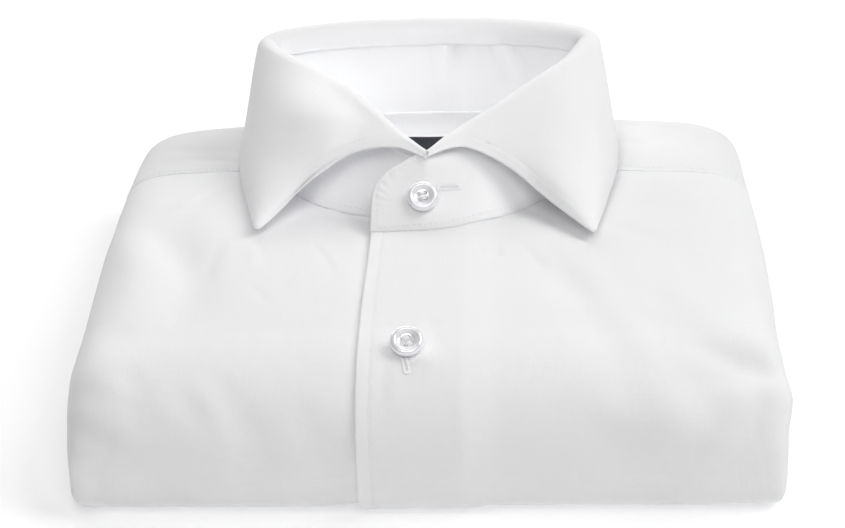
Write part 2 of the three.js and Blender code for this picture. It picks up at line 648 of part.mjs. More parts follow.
// ---- Buttons ----
function button() {
  const { radius, thick, dish, dishDepth, hole, holeAt } = BUTTON;
  const profile = [
    [0, 0], [radius - 1.4, 0], [radius - 0.5, 0.4], [radius, 1.3], [radius - 0.1, 2],
    [radius - 0.7, thick - 0.15], [radius - 1.3, thick], [dish, thick - 0.35], [dish - 0.7, thick - dishDepth],
    [0, thick - dishDepth - 0.1],
  ].map(([r, z]) => new THREE.Vector2(r, z));
  const turned = new THREE.LatheGeometry(profile, 24).rotateX(Math.PI / 2);
  const drill = new THREE.CylinderGeometry(hole, hole, 8, 8).rotateX(Math.PI / 2);
  let solid = solidFrom(turned);
  for (const quarter of [45, 135, 225, 315]) {
    const angle = radians(quarter);
    const place = drill.clone().translate(holeAt * Math.cos(angle), holeAt * Math.sin(angle), 0);
    solid = solid.subtract(solidFrom(place));
  }
  return geometryFrom(solid);
}

// Sets a button on the cloth at a point, facing along a direction.
function seatButton(mesh, point, facing) {
  mesh.quaternion.setFromUnitVectors(new THREE.Vector3(0, 0, 1), facing);
  mesh.position.copy(point).addScaledVector(facing, GAP + 0.05);
}

// ---- The shirt ----
const WHITE = { color: 0xf1f1f4, roughness: 0.85, metalness: 0 };
const shirt = new THREE.Group();
shirt.position.set(-CENTRE.x, -CENTRE.y, 0);

function piece(name, geometry, look = WHITE) {
  geometry.computeVertexNormals();
  const mesh = new THREE.Mesh(geometry, new THREE.MeshStandardMaterial(look));
  mesh.name = name;
  shirt.add(mesh);
  return mesh;
}

piece("folded_layers", foldedLayers());
piece("front_lower", cutNeck(lowerFront()));
piece("front_upper", cutNeck(upperFront(), UPPER_NECK_CORNER));
piece("yoke", cutNeck(yokeWall()));
piece("yoke_inside", yokeInside());
piece("collar_stand", stand());
piece("collar_leaf", leaf());
piece("label", label(), { color: 0x23252d, roughness: 0.7, metalness: 0 });

const PEARL = { color: 0xf4f2f4, roughness: 0.18, metalness: 0 };
const collarButton = piece("button_collar", button(), PEARL);
const buttonPlace = { s: 0, side: 1, under: 0, past: COLLAR_CENTRE_X - COLLAR_BUTTON_X };
seatButton(collarButton, standPoint(buttonPlace, COLLAR_BUTTON_UP, BAND / 2), bandFrame(buttonPlace).out);

const frontButton = piece("button_front", button(), PEARL);
const seat = (dx, dturn) => bodyPoint(frontStation(FRONT_BUTTON.turn + dturn), { x: FRONT_BUTTON.x + dx });
const flat = seat(3, 0).sub(seat(-3, 0)).cross(seat(0, 4).sub(seat(0, -4))).normalize();
const tip = radians(FRONT_BUTTON.tip);
const frontFace = flat.clone().applyAxisAngle(new THREE.Vector3(1, 0, 0), tip);
const overCloth = RAISE + (BUTTON.radius - 2.2) * Math.sin(tip);
seatButton(frontButton, seat(0, 0).addScaledVector(flat, overCloth), frontFace);

export default shirt;
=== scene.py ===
"""The looks of a folded dress shirt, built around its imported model.

Lengths are in millimetres in the shirt's own coordinates until a mesh is made: +X to the viewer's right, +Y from
the front fold to the collar, +Z up. A mesh is in metres in the row frame, SHIFT_Y further back.
"""
import math

import bpy
import numpy as np
from mathutils import Matrix, Vector
from mathutils.bvhtree import BVHTree


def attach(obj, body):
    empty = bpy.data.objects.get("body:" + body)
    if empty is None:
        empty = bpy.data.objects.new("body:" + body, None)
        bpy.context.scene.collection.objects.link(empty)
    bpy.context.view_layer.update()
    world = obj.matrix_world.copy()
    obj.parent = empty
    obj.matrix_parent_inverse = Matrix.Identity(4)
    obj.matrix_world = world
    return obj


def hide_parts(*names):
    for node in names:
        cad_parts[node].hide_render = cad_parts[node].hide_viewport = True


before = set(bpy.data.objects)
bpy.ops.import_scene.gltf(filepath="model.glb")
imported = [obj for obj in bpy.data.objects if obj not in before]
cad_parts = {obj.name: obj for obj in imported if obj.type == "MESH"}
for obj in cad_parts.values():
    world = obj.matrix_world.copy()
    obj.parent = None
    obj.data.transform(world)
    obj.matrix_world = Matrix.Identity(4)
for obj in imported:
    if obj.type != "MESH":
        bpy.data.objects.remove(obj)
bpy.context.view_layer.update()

SHIFT_Y = 2.48

# ---- The shirt's sizes, as in its solids ----
HALF_WIDTH = 123.0
PIVOT_Z = 17.0  # where upper and lower cloth meet in the folds
FRONT_PIVOT_Y = -75.0
FRONT_REACH = 47.0  # of the front fold, from its pivot
BACK_PIVOT_Y = 100.0
BACK_REACH = 20.0
YOKE_SEAM_Y = 53.0
SEAM_TILT = 0.024
HEM_Y = 55.0  # end of the fronts' turned-under cloth
YOKE_END_Y = 80.0  # and of the yoke's
FRONT_FOLD_RUN = 111.0  # cloth round the front fold
CLOTH = 1.5
BAND = 2.0  # thickness of a collar layer
GAP = 0.4  # at a seam
RAISE = CLOTH + GAP
UNDERLAP = 34.0  # of the lower front under the upper one
CORE_GAP = 2.75  # from the outer cloth to the hidden layers
NECK_DIP = 3.4
CORNER_LIFT = 4.5
LIP = (1.2, 4.2)  # inner side of the leaf's fold down to its seam, at the front and the back
ROLL = (1.4, 2.4)  # radius of the leaf's fold, at the front and the back
COLLAR_CENTRE_X = -2.5
LOWER_BACK = 5.0  # the band's left end stands this much further back
STAND_END = 19.5  # the buttoned end, past the front centre
STAND_END_HEIGHT = 0.42
LEAF_BELLY = 0.01
LEAF_DROP = 1.3  # how far the fold comes down at the front
LEAF_ROWS = 36  # down the leaf, to where its edge begins
LEAF_BEND = {"x": (-43.0, -31.0), "wide": 14.0, "high": 4.2}  # down the left wing
NECK_HOLE = 0.955  # the cloth's hole, as a share of the neck's seam
NECK_CENTRE = np.array([COLLAR_CENTRE_X, 52.0])
CUT_ABOVE = 30  # a cut goes through the top cloth alone
WALL = {"front": 1.35, "yoke": 0.9, "stand": 1.7, "label": 0.7}
NARROW_SEAM = 1.9  # the yoke's and the band's stitching, from its edge
EDGE_SEAM = 4.1  # the opening's and the leaf's
STEP = 1.7  # between the fronts' and the yoke's rows
SIDE_COUNT = 30  # places round a side fold
CREASE_DEPTH = 1.35
TUCK_DEPTH, TUCK_LONG = 0.85, 1.7
FAR = 99.0


def table(columns, *rows):
    return dict(zip(columns.split(), np.array(rows, float).T))


TOP_LINE = table("y z", (-75, 45.4), (-50, 46.5), (-5, 47), (50, 47), (100, 44.8))
WIDTH = table(
    "y left right",
    (-122, 120.5, 121),
    (-100, 122, 121.5),
    (-60, 122.3, 122.2),
    (0, 123, 123),
    (70, 122.3, 122),
    (100, 121.3, 121),
    (121, 117, 119),
)
CROWN = table("y drop", (-75, 0.04), (-10, 0.05), (54, 0.09), (100, 0.21))
SIDE_FOLD = table(
    "at off depth",
    (0.0, -24, 0),
    (0.12, -16, 0.012),
    (0.24, -9.5, 0.055),
    (0.36, -4.6, 0.14),
    (0.48, -1.4, 0.27),
    (0.6, 0, 0.43),
    (0.72, -0.6, 0.59),
    (0.84, -2.8, 0.72),
    (1.0, -10, 0.79),
)
FRONT_EDGE = table("run x", (0, -22), (80, -22), (128, -22.6), (185, -22), (239, -20), (370, -20))
SOFT_FOLDS = table(
    "x run long wide turn lift",
    (-88, 75, 34, 9, -76, -1.7),
    (-106, 72, 30, 9, -80, 1.2),
    (-96, 158, 30, 9, -35, -1.6),
    (-112, 138, 20, 8, -35, 1.3),
    (-68, 166, 24, 8, -50, -1.2),
    (62, 108, 40, 10, -52, -1.5),
    (84, 150, 34, 9, -42, -1.6),
    (100, 124, 26, 9, -30, 1.3),
    (104, 146, 16, 7, 12, -1.8),
)
NECK_SEAM = table(
    "s x y",
    (0, 0, -4.5),
    (0.07, 12, -1.5),
    (0.15, 25, 6.5),
    (0.23, 38, 16.5),
    (0.33, 50, 30),
    (0.43, 59, 46),
    (0.53, 63.5, 63),
    (0.64, 61, 81),
    (0.76, 49, 93.5),
    (0.88, 26, 98.8),
    (1, 0, 100),
)
FOLD_LINE = table(
    "s x y z shift",
    (0, 0, 18.5, 71, 1),
    (0.07, 8, 26.5, 72, 0.5),
    (0.12, 13.5, 32.5, 73.2, 1),
    (0.21, 23.5, 42, 77, 3),
    (0.31, 37, 54.5, 82, 4),
    (0.42, 52, 67.5, 85.8, 2.5),
    (0.5, 59.5, 77, 87.8, 0.5),
    (0.56, 62.8, 84.5, 89, 0),
    (0.64, 57.5, 90.5, 89.5, 0),
    (0.72, 45, 94.5, 89.8, 0),
    (0.86, 24, 98, 90, 0),
    (1, 0, 99.2, 90, 0),
)
LEAF_EDGE = table(
    "s x y z shift skew",
    (0, 3, 15, 68.8, 0, 0),
    (0.06, 11, 22, 69.5, 0, 0),
    (0.14, 22, 23.5, 67.5, -3, 0),
    (0.2, 33.5, 20, 62.5, -3, 0),
    (0.28, 47.5, 10, 55, -3, -0.5),
    (0.36, 61.5, -8, 50, 0, -2.7),
    (0.45, 66.5, 18, 50.2, 0, -1.5),
    (0.56, 71.5, 48, 50.5, 0, 0),
    (0.66, 71, 82, 50.5, 0, 0),
    (0.76, 61, 103, 49.3, 0, 0),
    (0.88, 32, 110, 48, 0, 0),
    (1, 0, 111.5, 47.6, 0, 0),
)
LEAF_TIP = 5  # row of the leaf's point in that table
LABEL = {"wide": 52.0, "long": 26.0, "y": 78.0}
BUTTON = {"radius": 5.75, "thick": 3.0, "hole": 0.75, "hole_at": 1.55}
BUTTON_GAP = GAP + 0.05
COLLAR_BUTTON_X = -3.5
COLLAR_BUTTON_UP = 0.45
FRONT_BUTTON = {"x": -6.0, "turn": 74.0, "tip": 24.0, "foot": 2.2}

# ---- Creases of the fronts ----
# Each runs from one point to another, as x and run, and bends by bow to its left. lift is its height over the plain
# cloth, wide its half width, and ridge the share of it that comes back as a swell along its left (+) or right (-).
CREASES = table(
    "x0 run0 x1 run1 bow wide lift ridge",
    # left of the opening, from the collar's point and down the side
    (-115, 30, -90, 142, 12, 8.5, -1.55, -0.6),
    (-92, 128, -126, 140, -3, 5.5, -0.5, 0.4),
    (-60, 48, -82, 66, 1, 2.4, -0.3, 0.6),
    (-75, 50, -80, 98, -2, 2.6, -0.32, 0.5),
    (-41, 78, -51, 100, 0, 1.3, 0.26, -0.7),
    (-45, 60, -33, 94, 1, 1.5, -0.24, 0.6),
    (-66, 92, -56, 112, 1, 1.6, -0.2, 0.6),
    (-68, 60, -62, 90, 1, 2.0, 0.2, 0.5),
    (-78, 4, -108, 26, 2, 3.2, -0.42, 0.5),
    (-76, 14, -94, 38, -2, 2.6, -0.3, -0.5),
    # left corner of the front fold
    (-136, 128, -50, 182, -3, 6.5, 1.0, 0.0),
    (-128, 156, -62, 198, -4, 6.0, -1.2, 0.3),
    (-82, 142, -59, 182, 1, 4.6, 0.68, 0.5),
    (-102, 134, -90, 166, -2, 5.0, -0.5, -0.5),
    (-120, 176, -98, 200, 2, 4.5, -0.8, 0.5),
    (-48, 150, -30, 196, 3, 7.0, -0.4, 0.3),
    # right of the opening
    (48, 60, 95, 180, -3, 6.5, 0.9, -0.6),
    (48, 160, 88, 194, 0, 7.5, -0.85, 0.4),
    (84, 130, 128, 147, -2, 5.2, -1.0, 0.55),
    (107, 148, 92, 188, 2, 5.0, 0.75, -0.4),
    (76, 96, 96, 128, -3, 6.0, -0.5, 0.4),
    (70, 30, 120, 38, 2, 4.0, 0.3, -0.5),
    (60, 44, 100, 70, -4, 5.0, -0.35, 0.4),
    (112, 60, 120, 110, 3, 4.0, -0.5, 0.4),
    (22, 90, 32, 62, 1, 1.3, 0.3, 0.7),
    (14, 84, 20, 62, -1, 1.8, -0.24, 0.5),
    (31, 62, 42, 88, 1, 1.8, -0.24, 0.5),
    (24, 58, 27, 84, -1, 1.4, -0.2, 0.6),
    # drag lines from the front's button
    (-2, 114, 29, 74, 2, 3.4, 0.45, 0.5),
    (2, 120, 6, 142, -1, 2.2, -0.5, -0.5),
    (-13, 138, -15, 160, 1, 2.0, -0.3, 0.4),
    # fold left by the pressing, straight down the front
    (13, 84, 14.5, 236, 0, 1.2, 0.2, 0),
    (15.5, 92, 17, 230, 0, 1.5, -0.16, 0),
)
# The same on the yoke, where run is negative.
YOKE_CREASES = table(
    "x0 run0 x1 run1 bow wide lift ridge",
    (71, -6, 99, -42, 3, 3.2, -0.5, 0.6),
    (70, -46, 114, -50, -2, 3.0, -0.45, 0.5),
    (72, -22, 90, -26, 2, 2.4, -0.35, 0.5),
    (-70, -6, -104, -16, -2, 3.0, -0.4, -0.5),
    (-76, -22, -112, -34, 3, 4.0, -0.4, 0.4),
    (-60, -50, -90, -44, 2, 4.0, -0.3, 0.4),
)


def lerp(a, b, t):
    return a + (b - a) * t


def clamp(t):
    return np.clip(t, 0.0, 1.0)


def smooth(t):
    return clamp(t) ** 2 * (3 - 2 * clamp(t))


def bell(t):
    return np.exp(-(t**2))


def unit(v):
    return v / np.maximum(np.linalg.norm(v, axis=-1, keepdims=True), 1e-12)


def read(tab, at, column, corner=None):
    """A column of a table at places in its first one, on a smooth curve through the rows that may have a corner."""
    keys, values = next(iter(tab.values())), tab[column]
    last = len(keys) - 1
    at = np.clip(at, keys[0], keys[-1])
    i = np.clip(np.searchsorted(keys, at, side="left") - 1, 0, last - 1)

    def slope(n, segment):
        a = np.maximum(n - 1, 0)
        b = np.minimum(n + 1, last)
        if corner is not None:
            a = np.where((n == corner) & (segment == corner), n, a)
            b = np.where((n == corner) & (segment == corner - 1), n, b)
        return (values[b] - values[a]) / (keys[b] - keys[a])

    width = keys[i + 1] - keys[i]
    t = (at - keys[i]) / width
    p, q = values[i], values[i + 1]
    m, n = slope(i, i) * width, slope(i + 1, i) * width
    return (
        (2 * t**3 - 3 * t**2 + 1) * p
        + (t**3 - 2 * t**2 + t) * m
        + (3 * t**2 - 2 * t**3) * q
        + (t**3 - t**2) * n
    )


def grid_normals(grid):
    """Unit normals of a grid of points, on the side of (next row) x (next column)."""
    across = np.empty_like(grid)
    across[1:-1] = grid[2:] - grid[:-2]
    across[0], across[-1] = grid[1] - grid[0], grid[-1] - grid[-2]
    along = np.empty_like(grid)
    along[:, 1:-1] = grid[:, 2:] - grid[:, :-2]
    along[:, 0], along[:, -1] = grid[:, 1] - grid[:, 0], grid[:, -1] - grid[:, -2]
    return unit(np.cross(across, along))


class Noise:
    """Smooth seeded noise over a plane, -1 to 1 or so."""

    def __init__(self, seed):
        self.lattice = np.random.default_rng(seed).uniform(-1, 1, (64, 64))

    def __call__(self, u, v, size):
        u, v = np.asarray(u) / size + 517, np.asarray(v) / size + 311
        i, j = np.floor(u).astype(int), np.floor(v).astype(int)
        a, b = smooth(u - i), smooth(v - j)
        take = lambda x, y: self.lattice[(i + x) % 64, (j + y) % 64]
        return lerp(lerp(take(0, 0), take(1, 0), a), lerp(take(0, 1), take(1, 1), a), b)


noise = Noise(11)


# ---- The folded body ----
def half_width(y, side):
    return np.where(side > 0, read(WIDTH, y, "right"), read(WIDTH, y, "left"))


def top_height(y):
    return read(TOP_LINE, y, "z") - PIVOT_Z


def run_of(part, y, turn):
    """Distance down the cloth from the yoke's seam. A station is a part of the body, its y and its turn."""
    if part in ("top", "back"):
        return YOKE_SEAM_Y - y
    to_fold = YOKE_SEAM_Y - FRONT_PIVOT_Y
    if part == "front":
        return to_fold + FRONT_FOLD_RUN * (90 - turn) / 180
    return to_fold + FRONT_FOLD_RUN + y - FRONT_PIVOT_Y


def reach_of(station, x):
    """How far the cloth lies behind the station's y and above PIVOT_Z."""
    part, y, turn = station
    height = top_height(y)
    zero = np.zeros_like(x)
    if part == "top":
        return zero, zero + height
    if part == "under":
        return zero, zero - PIVOT_Z
    right, left = smooth((x - 40) / 60), smooth((-x - 40) / 60)
    to_front = part == "front"
    upper = 2.05 + 0.5 * right + 0.15 * left if to_front else 2.1 + zero
    lower = zero + (6.5 if to_front else 2.6)
    power = 2 / (upper if turn > 0 else lower)
    angle = math.radians(turn)
    side = -FRONT_REACH - 1.2 * (1 - (x / HALF_WIDTH) ** 2) - 1.2 * right if to_front else BACK_REACH + zero
    vertical = height if turn > 0 else PIVOT_Z
    return (
        side * abs(math.cos(angle)) ** power,
        math.copysign(1, turn) * vertical * abs(math.sin(angle)) ** power * (turn != 0),
    )


def soft_folds(x, run):
    total = np.zeros_like(x)
    for fx, frun, long, wide, turn, lift in zip(*SOFT_FOLDS.values()):
        angle = math.radians(turn)
        dx, dy = x - fx, frun - run
        along = (dx * math.cos(angle) + dy * math.sin(angle)) / long
        across = (-dx * math.sin(angle) + dy * math.cos(angle)) / wide
        total = total + lift * np.exp(-(along**2) - across**2)
    return total


def under(station):
    """How far round to the underside a station lies, 0 to 1."""
    part, _, turn = station
    return 0.0 if part == "back" else float(smooth((20 - turn) / 100))


def squareness(station, side):
    """The share of a side fold's inset that is kept, less in the front corners, which stay full."""
    part, y, turn = station
    if part == "back":
        return np.ones_like(side, dtype=float)
    front = smooth((-50 - y) / 25)
    low = smooth((30 - turn) / 60)
    return lerp(1, np.where(side > 0, 0.55, 0.8), front) * lerp(1, 0.4, low * front)


def body_row(station, x, side=None, off=None, depth=None, bare=None):
    """Points of the body's outer side at a station. x is nan on a side fold, where off and depth say the place."""
    part, y, turn = station
    x = np.asarray(x, float)
    flat = ~np.isnan(x)
    zero = np.zeros_like(x)
    side = np.where(flat, np.where(np.nan_to_num(x) < 0, -1.0, 1.0), zero if side is None else side)
    off = zero if off is None else np.asarray(off, float)
    depth = zero if depth is None else np.where(flat, 0, depth)
    bare = zero.astype(bool) if bare is None else bare
    ry, rz = reach_of(station, np.where(flat, np.nan_to_num(x), side * HALF_WIDTH))
    beyond = np.where(bare, 0, ry)
    square = np.where(bare, 1, squareness(station, side))
    x = np.where(flat, np.nan_to_num(x), side * (half_width(y + beyond, side) + off * square))
    length = np.hypot(ry, rz)
    share = np.minimum(1, abs(x) / HALF_WIDTH)
    upper = 0 if part == "under" else smooth(turn / 60)
    crown = read(CROWN, y, "drop") * upper * share**4
    fades = 1 - smooth(depth / 0.5)
    folds = 0 if part == "back" else soft_folds(x, run_of(*station)) * (1 - under(station))
    corner = np.where((side > 0) & (part == "front"), CORNER_LIFT * smooth((share - 0.9) / 0.1), 0)
    raised = corner * math.exp(-(((turn - 52) / 20) ** 2)) * (1 - depth)
    more = (folds * fades + raised) / length
    tighten = np.where(bare, 1, {"front": 0.35, "back": 0.6}.get(part, 1))
    near_seam = 1 - smooth(abs(y - YOKE_SEAM_Y) / 34) if part == "top" else 0
    return np.stack(
        [
            x + raised * 0.7,
            y + ry * ((1 - crown) * (1 - depth) ** tighten + more) - SEAM_TILT * x * near_seam * (1 - depth),
            PIVOT_Z + rz * ((1 - crown) * (1 - depth) + more),
        ],
        axis=-1,
    )


def flat_edge(station, side):
    _, y, _ = station
    ry, _ = reach_of(station, np.array([side * HALF_WIDTH]))
    y = y + ry[0]
    square = float(squareness(station, np.array([side]))[0])
    return float(side * (half_width(y, side) + SIDE_FOLD["off"][0] * square))


def top_at(x, y):
    x, y = np.broadcast_arrays(np.atleast_1d(x), np.atleast_1d(np.minimum(y, BACK_PIVOT_Y)))
    heights = [body_row(("top", float(b), 90.0), np.array([a]))[0, 2] for a, b in zip(x.ravel(), y.ravel())]
    return np.array(heights).reshape(x.shape)


def travelled(points):
    """Distance along a line of points, at each of them."""
    return np.concatenate([[0], np.cumsum(np.linalg.norm(np.diff(points, axis=0), axis=1))])


def travelled_across(grid):
    """Distance along each row of a grid, at each of its points."""
    steps = np.linalg.norm(np.diff(grid, axis=1), axis=2)
    return np.concatenate([np.zeros((len(grid), 1)), np.cumsum(steps, axis=1)], axis=1)


def level_stations(part, ys):
    return [(part, float(y), 90.0 if part == "top" else -90.0) for y in ys]


def fold_stations(part, step):
    """Stations round the front or back fold, from above, a step apart along the cloth."""
    u = np.linspace(0, 1, 1500)
    g = u**3 / (u**3 + (1 - u) ** 3)
    turns = np.concatenate([90 - 90 * g, -90 * g[1:]])
    y = BACK_PIVOT_Y if part == "back" else FRONT_PIVOT_Y
    turned = [t if abs(t) > 1e-9 else 1e-9 for t in turns]
    run = travelled(np.array([[float(v[0]) for v in reach_of((part, y, t), np.zeros(1))] for t in turned]))
    count = max(8, int(round(run[-1] / step)))
    return [(part, y, float(t)) for t in np.interp(np.linspace(0, run[-1], count + 1), run, turns)[1:-1]]


def front_stations(step):
    tops = np.linspace(YOKE_SEAM_Y + 3.5, FRONT_PIVOT_Y, int(round(130 / step)) + 1)
    unders = np.linspace(FRONT_PIVOT_Y, HEM_Y, 27)
    return level_stations("top", tops) + fold_stations("front", step) + level_stations("under", unders)


def yoke_stations(step):
    unders = np.linspace(YOKE_END_Y, BACK_PIVOT_Y, 9)
    tops = np.linspace(BACK_PIVOT_Y, YOKE_SEAM_Y, int(round(47 / step)) + 1)
    return level_stations("under", unders) + fold_stations("back", step)[::-1] + level_stations("top", tops)


def front_edge(station):
    return float(read(FRONT_EDGE, run_of(*station), "x"))


def side_places(count):
    at = np.linspace(0, 1, count + 1)[1:]
    return read(SIDE_FOLD, at, "off"), read(SIDE_FOLD, at, "depth")


def overlap(station, x):
    """1 up to where the lower front ends under the upper one, 0 beyond it."""
    return 1 - smooth((x - front_edge(station) - UNDERLAP) / 14)


def crease_height(creases, u, run):
    """Height of the creases over the plain cloth at each point of a grid."""
    total = np.zeros_like(u)
    for x0, r0, x1, r1, bow, wide, lift, ridge in zip(*creases.values()):
        length = math.hypot(x1 - x0, r1 - r0)
        dx, dr = (x1 - x0) / length, (r1 - r0) / length
        t = ((u - x0) * dx + (run - r0) * dr) / length
        inside = clamp(t)
        across = (u - x0) * dr - (run - r0) * dx - bow * 4 * inside * (1 - inside)
        # a crease widens and dies out towards its ends, one of them sooner
        ends = smooth(t / 0.42) * smooth((1 - t) / 0.3)
        q = across / (wide * (0.75 + 0.6 * inside))
        side = math.copysign(1.0, ridge) if ridge else 1.0
        profile = bell(q) - abs(ridge) * bell(q * side - 1.75)
        total += lift * ends * profile
    return CREASE_DEPTH * total


def cloth_unevenness(u, v):
    return 0.3 * noise(u, v, 46) + 0.13 * noise(u + 900, v, 19) + 0.045 * noise(u, v + 700, 7)


def cloth_bumps(creases, uv, shift=0):
    u, v = uv[..., 0], uv[..., 1]
    return crease_height(creases, u, v) + cloth_unevenness(u, v - shift)


# ---- Meshes ----
def linked(name, data):
    obj = bpy.data.objects.new(name, data)
    bpy.context.scene.collection.objects.link(obj)
    return obj


def mesh_object(name, points, faces, uv=None):
    """A mesh from points in the shirt's own coordinates, in millimetres."""
    mesh = bpy.data.meshes.new(name)
    placed = (np.asarray(points, float) + [0, SHIFT_Y, 0]) / 1000
    mesh.from_pydata(placed.tolist(), [], [tuple(int(i) for i in f) for f in faces])
    mesh.validate()
    if uv is not None:
        layer = mesh.uv_layers.new(name="cloth")
        corners = np.empty(len(mesh.loops), int)
        mesh.loops.foreach_get("vertex_index", corners)
        layer.data.foreach_set("uv", (np.asarray(uv, np.float32)[corners] / 1000).astype(np.float32).ravel())
    mesh.polygons.foreach_set("use_smooth", np.full(len(mesh.polygons), True))
    return linked(name, mesh)


def finish_piece(obj, material, slot, *replaced):
    obj.data.materials.clear()
    obj.data.materials.append(material)
    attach(obj, "root")
    if replaced:
        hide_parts(*replaced)
    return obj


def grid_quads(rows, columns, wrap=False):
    """Faces of a grid of points. With wrap, the last row joins the first."""
    i, j = np.meshgrid(np.arange(rows - 1 + wrap), np.arange(columns - 1), indexing="ij")
    a = i * columns + j
    b = ((i + 1) % rows) * columns + j
    return np.stack([a, b, b + 1, a + 1], -1).reshape(-1, 4)


def vertex_normals(points, faces):
    normals = np.zeros_like(points)
    corners = [points[faces[:, k]] for k in range(faces.shape[1])]
    face = np.cross(corners[2] - corners[0], corners[-1] - corners[1])
    for k in range(faces.shape[1]):
        np.add.at(normals, faces[:, k], face)
    return unit(normals)


def shell(name, points, faces, thickness, uv):
    """A closed wall of cloth behind an outer surface, with a rounded rim; returns it and the outer surface's tree."""
    used = np.unique(faces)
    remap = np.full(len(points), -1)
    remap[used] = np.arange(len(used))
    half = np.broadcast_to(np.asarray(thickness, float), len(points))[used][:, None] / 2
    points, uv, faces = points[used], uv[used], remap[faces]
    normals = vertex_normals(points, faces)
    count = len(points)
    edges = np.concatenate([faces[:, [k, (k + 1) % 4]] for k in range(4)])
    edges = edges[edges[:, 0] != edges[:, 1]]
    known = set(map(tuple, edges.tolist()))
    rim = [(a, b) for a, b in known if (b, a) not in known]
    outward = np.zeros_like(points)
    for a, b in rim:
        direction = points[b] - points[a]
        away = np.cross(direction, normals[a] + normals[b])
        outward[a] += away
        outward[b] += away
    rim_points = sorted({a for edge in rim for a in edge})
    outward = unit(outward)
    place = {a: k for k, a in enumerate(rim_points)}
    all_points = [points, points - normals * (half * 2)]
    angles = (45, 90, 135)
    ring = np.array(rim_points, int)
    for angle in angles:
        a = math.radians(angle)
        inward = normals[ring] * half[ring] * (1 - math.cos(a))
        all_points.append(points[ring] - inward + outward[ring] * half[ring] * 0.8 * math.sin(a))
    outer = [tuple(f) for f in faces.tolist()]
    all_faces = outer + [tuple(count + i for i in reversed(f)) for f in outer]

    def round_edge(i):
        return [i] + [2 * count + k * len(ring) + place[i] for k in range(len(angles))] + [i + count]

    for a, b in rim:
        a, b = round_edge(a), round_edge(b)
        all_faces += [(b0, a0, a1, b1) for a0, b0, a1, b1 in zip(a, b, a[1:], b[1:])]
    all_uv = np.concatenate([uv, uv] + [uv[ring]] * len(angles))
    obj = mesh_object(name, np.concatenate(all_points), all_faces, all_uv)
    return obj, BVHTree.FromPolygons([Vector(p) for p in points.tolist()], outer)


def surface_uv(grid, anchor, across, run):
    """Distances over the cloth: across each row from the anchor column, where it is across, and along the run."""
    u = travelled_across(grid)
    u = u - u[:, [anchor]] + across[:, None]
    return np.stack([u, np.broadcast_to(run[:, None], u.shape)], -1)


def neck_ring(scale, count=90):
    """The neck's seam seen from above, scaled from its centre."""
    s = np.linspace(0, 1, count)
    x, y = read(NECK_SEAM, s, "x"), read(NECK_SEAM, s, "y")
    left, right = (np.stack([COLLAR_CENTRE_X + side * x, y], -1) for side in (-1, 1))
    return (np.concatenate([left, right[::-1][1:-1]]) - NECK_CENTRE) * scale + NECK_CENTRE


def inside_outline(points, outline):
    x, y = points[:, 0], points[:, 1]
    inside = np.zeros(len(points), bool)
    for (ax, ay), (bx, by) in zip(outline, np.roll(outline, -1, axis=0)):
        if ay != by:
            inside ^= ((ay > y) != (by > y)) & (x < (bx - ax) * (y - ay) / (by - ay) + ax)
    return inside


def cut_outline(points, faces, outline):
    """Removes what lies inside an outline, and moves the new rim's points onto it."""
    centres = points[faces].mean(axis=1)
    inside = inside_outline(centres[:, :2], outline) & (centres[:, 2] > CUT_ABOVE)
    kept = faces[~inside]
    rim = np.intersect1d(np.unique(kept), np.unique(faces[inside]))
    a, b = outline, np.roll(outline, -1, axis=0)
    for i in rim:
        p = points[i, :2]
        t = clamp(((p - a) * (b - a)).sum(1) / np.maximum(((b - a) ** 2).sum(1), 1e-9))
        near = a + (b - a) * t[:, None]
        points[i, :2] = near[np.argmin(((near - p) ** 2).sum(1))]
    return points, kept


def cut_neck(grid):
    """The points and faces of a grid, less the neck's hole."""
    return cut_outline(grid.reshape(-1, 3).copy(), grid_quads(*grid.shape[:2]), neck_ring(NECK_HOLE))


# ---- Stitching ----
def resample(path, step):
    lengths = travelled(path)
    count = max(2, int(lengths[-1] / step))
    at = np.linspace(0, lengths[-1], count + 1)
    return np.stack([np.interp(at, lengths, path[:, k]) for k in range(3)], -1)


def capsule(centre, direction, normal, length, radius, sink):
    """A short thread that comes out of the cloth, lies on it and goes back in: its points and faces."""
    side = unit(np.cross(direction, normal))
    points = []
    for t, height, size in ((-0.5, -sink, 0.55), (-0.3, 0.3 * radius, 1), (0.3, 0.3 * radius, 1), (0.5, -sink, 0.55)):
        middle = centre + direction * t * length + normal * height
        for k in range(6):
            a = math.tau * k / 6
            points.append(middle + (side * math.cos(a) + normal * math.sin(a)) * radius * size)
    turns = [(k, (k + 1) % 6) for k in range(6)]
    faces = [(r + k, r + after, r + 6 + after, r + 6 + k) for r in (0, 6, 12) for k, after in turns]
    return points, faces + [tuple(range(5, -1, -1)), tuple(range(18, 24))]


def threads(name, parts):
    """One mesh of many capsules, each given by its arguments."""
    points, faces = [], []
    for part in parts:
        p, f = capsule(*part)
        faces += [tuple(i + len(points) for i in face) for face in f]
        points += p
    return mesh_object(name, np.array(points), faces)


def on_surface(tree, point):
    hit, normal, _, _ = tree.find_nearest(Vector(point))
    return np.array(hit), np.array(normal)


STITCH = {"pitch": 2.1, "length": 1.55, "radius": 0.14, "sink": 0.12}


def stitch_row(name, tree, path, seed):
    rng = np.random.default_rng(seed)
    line = resample(np.asarray(path, float), STITCH["pitch"] / 4)
    parts = []
    for k, p in enumerate(line[2::4][:-1]):
        hit, normal = on_surface(tree, p)
        ahead, _ = on_surface(tree, line[min(len(line) - 1, 4 * k + 3)])
        if np.linalg.norm(ahead - hit) < 1e-6:
            continue
        length = STITCH["length"] * rng.uniform(0.92, 1.06)
        parts.append((hit, unit(ahead - hit), normal, length, STITCH["radius"], STITCH["sink"]))
    return threads(name, parts)


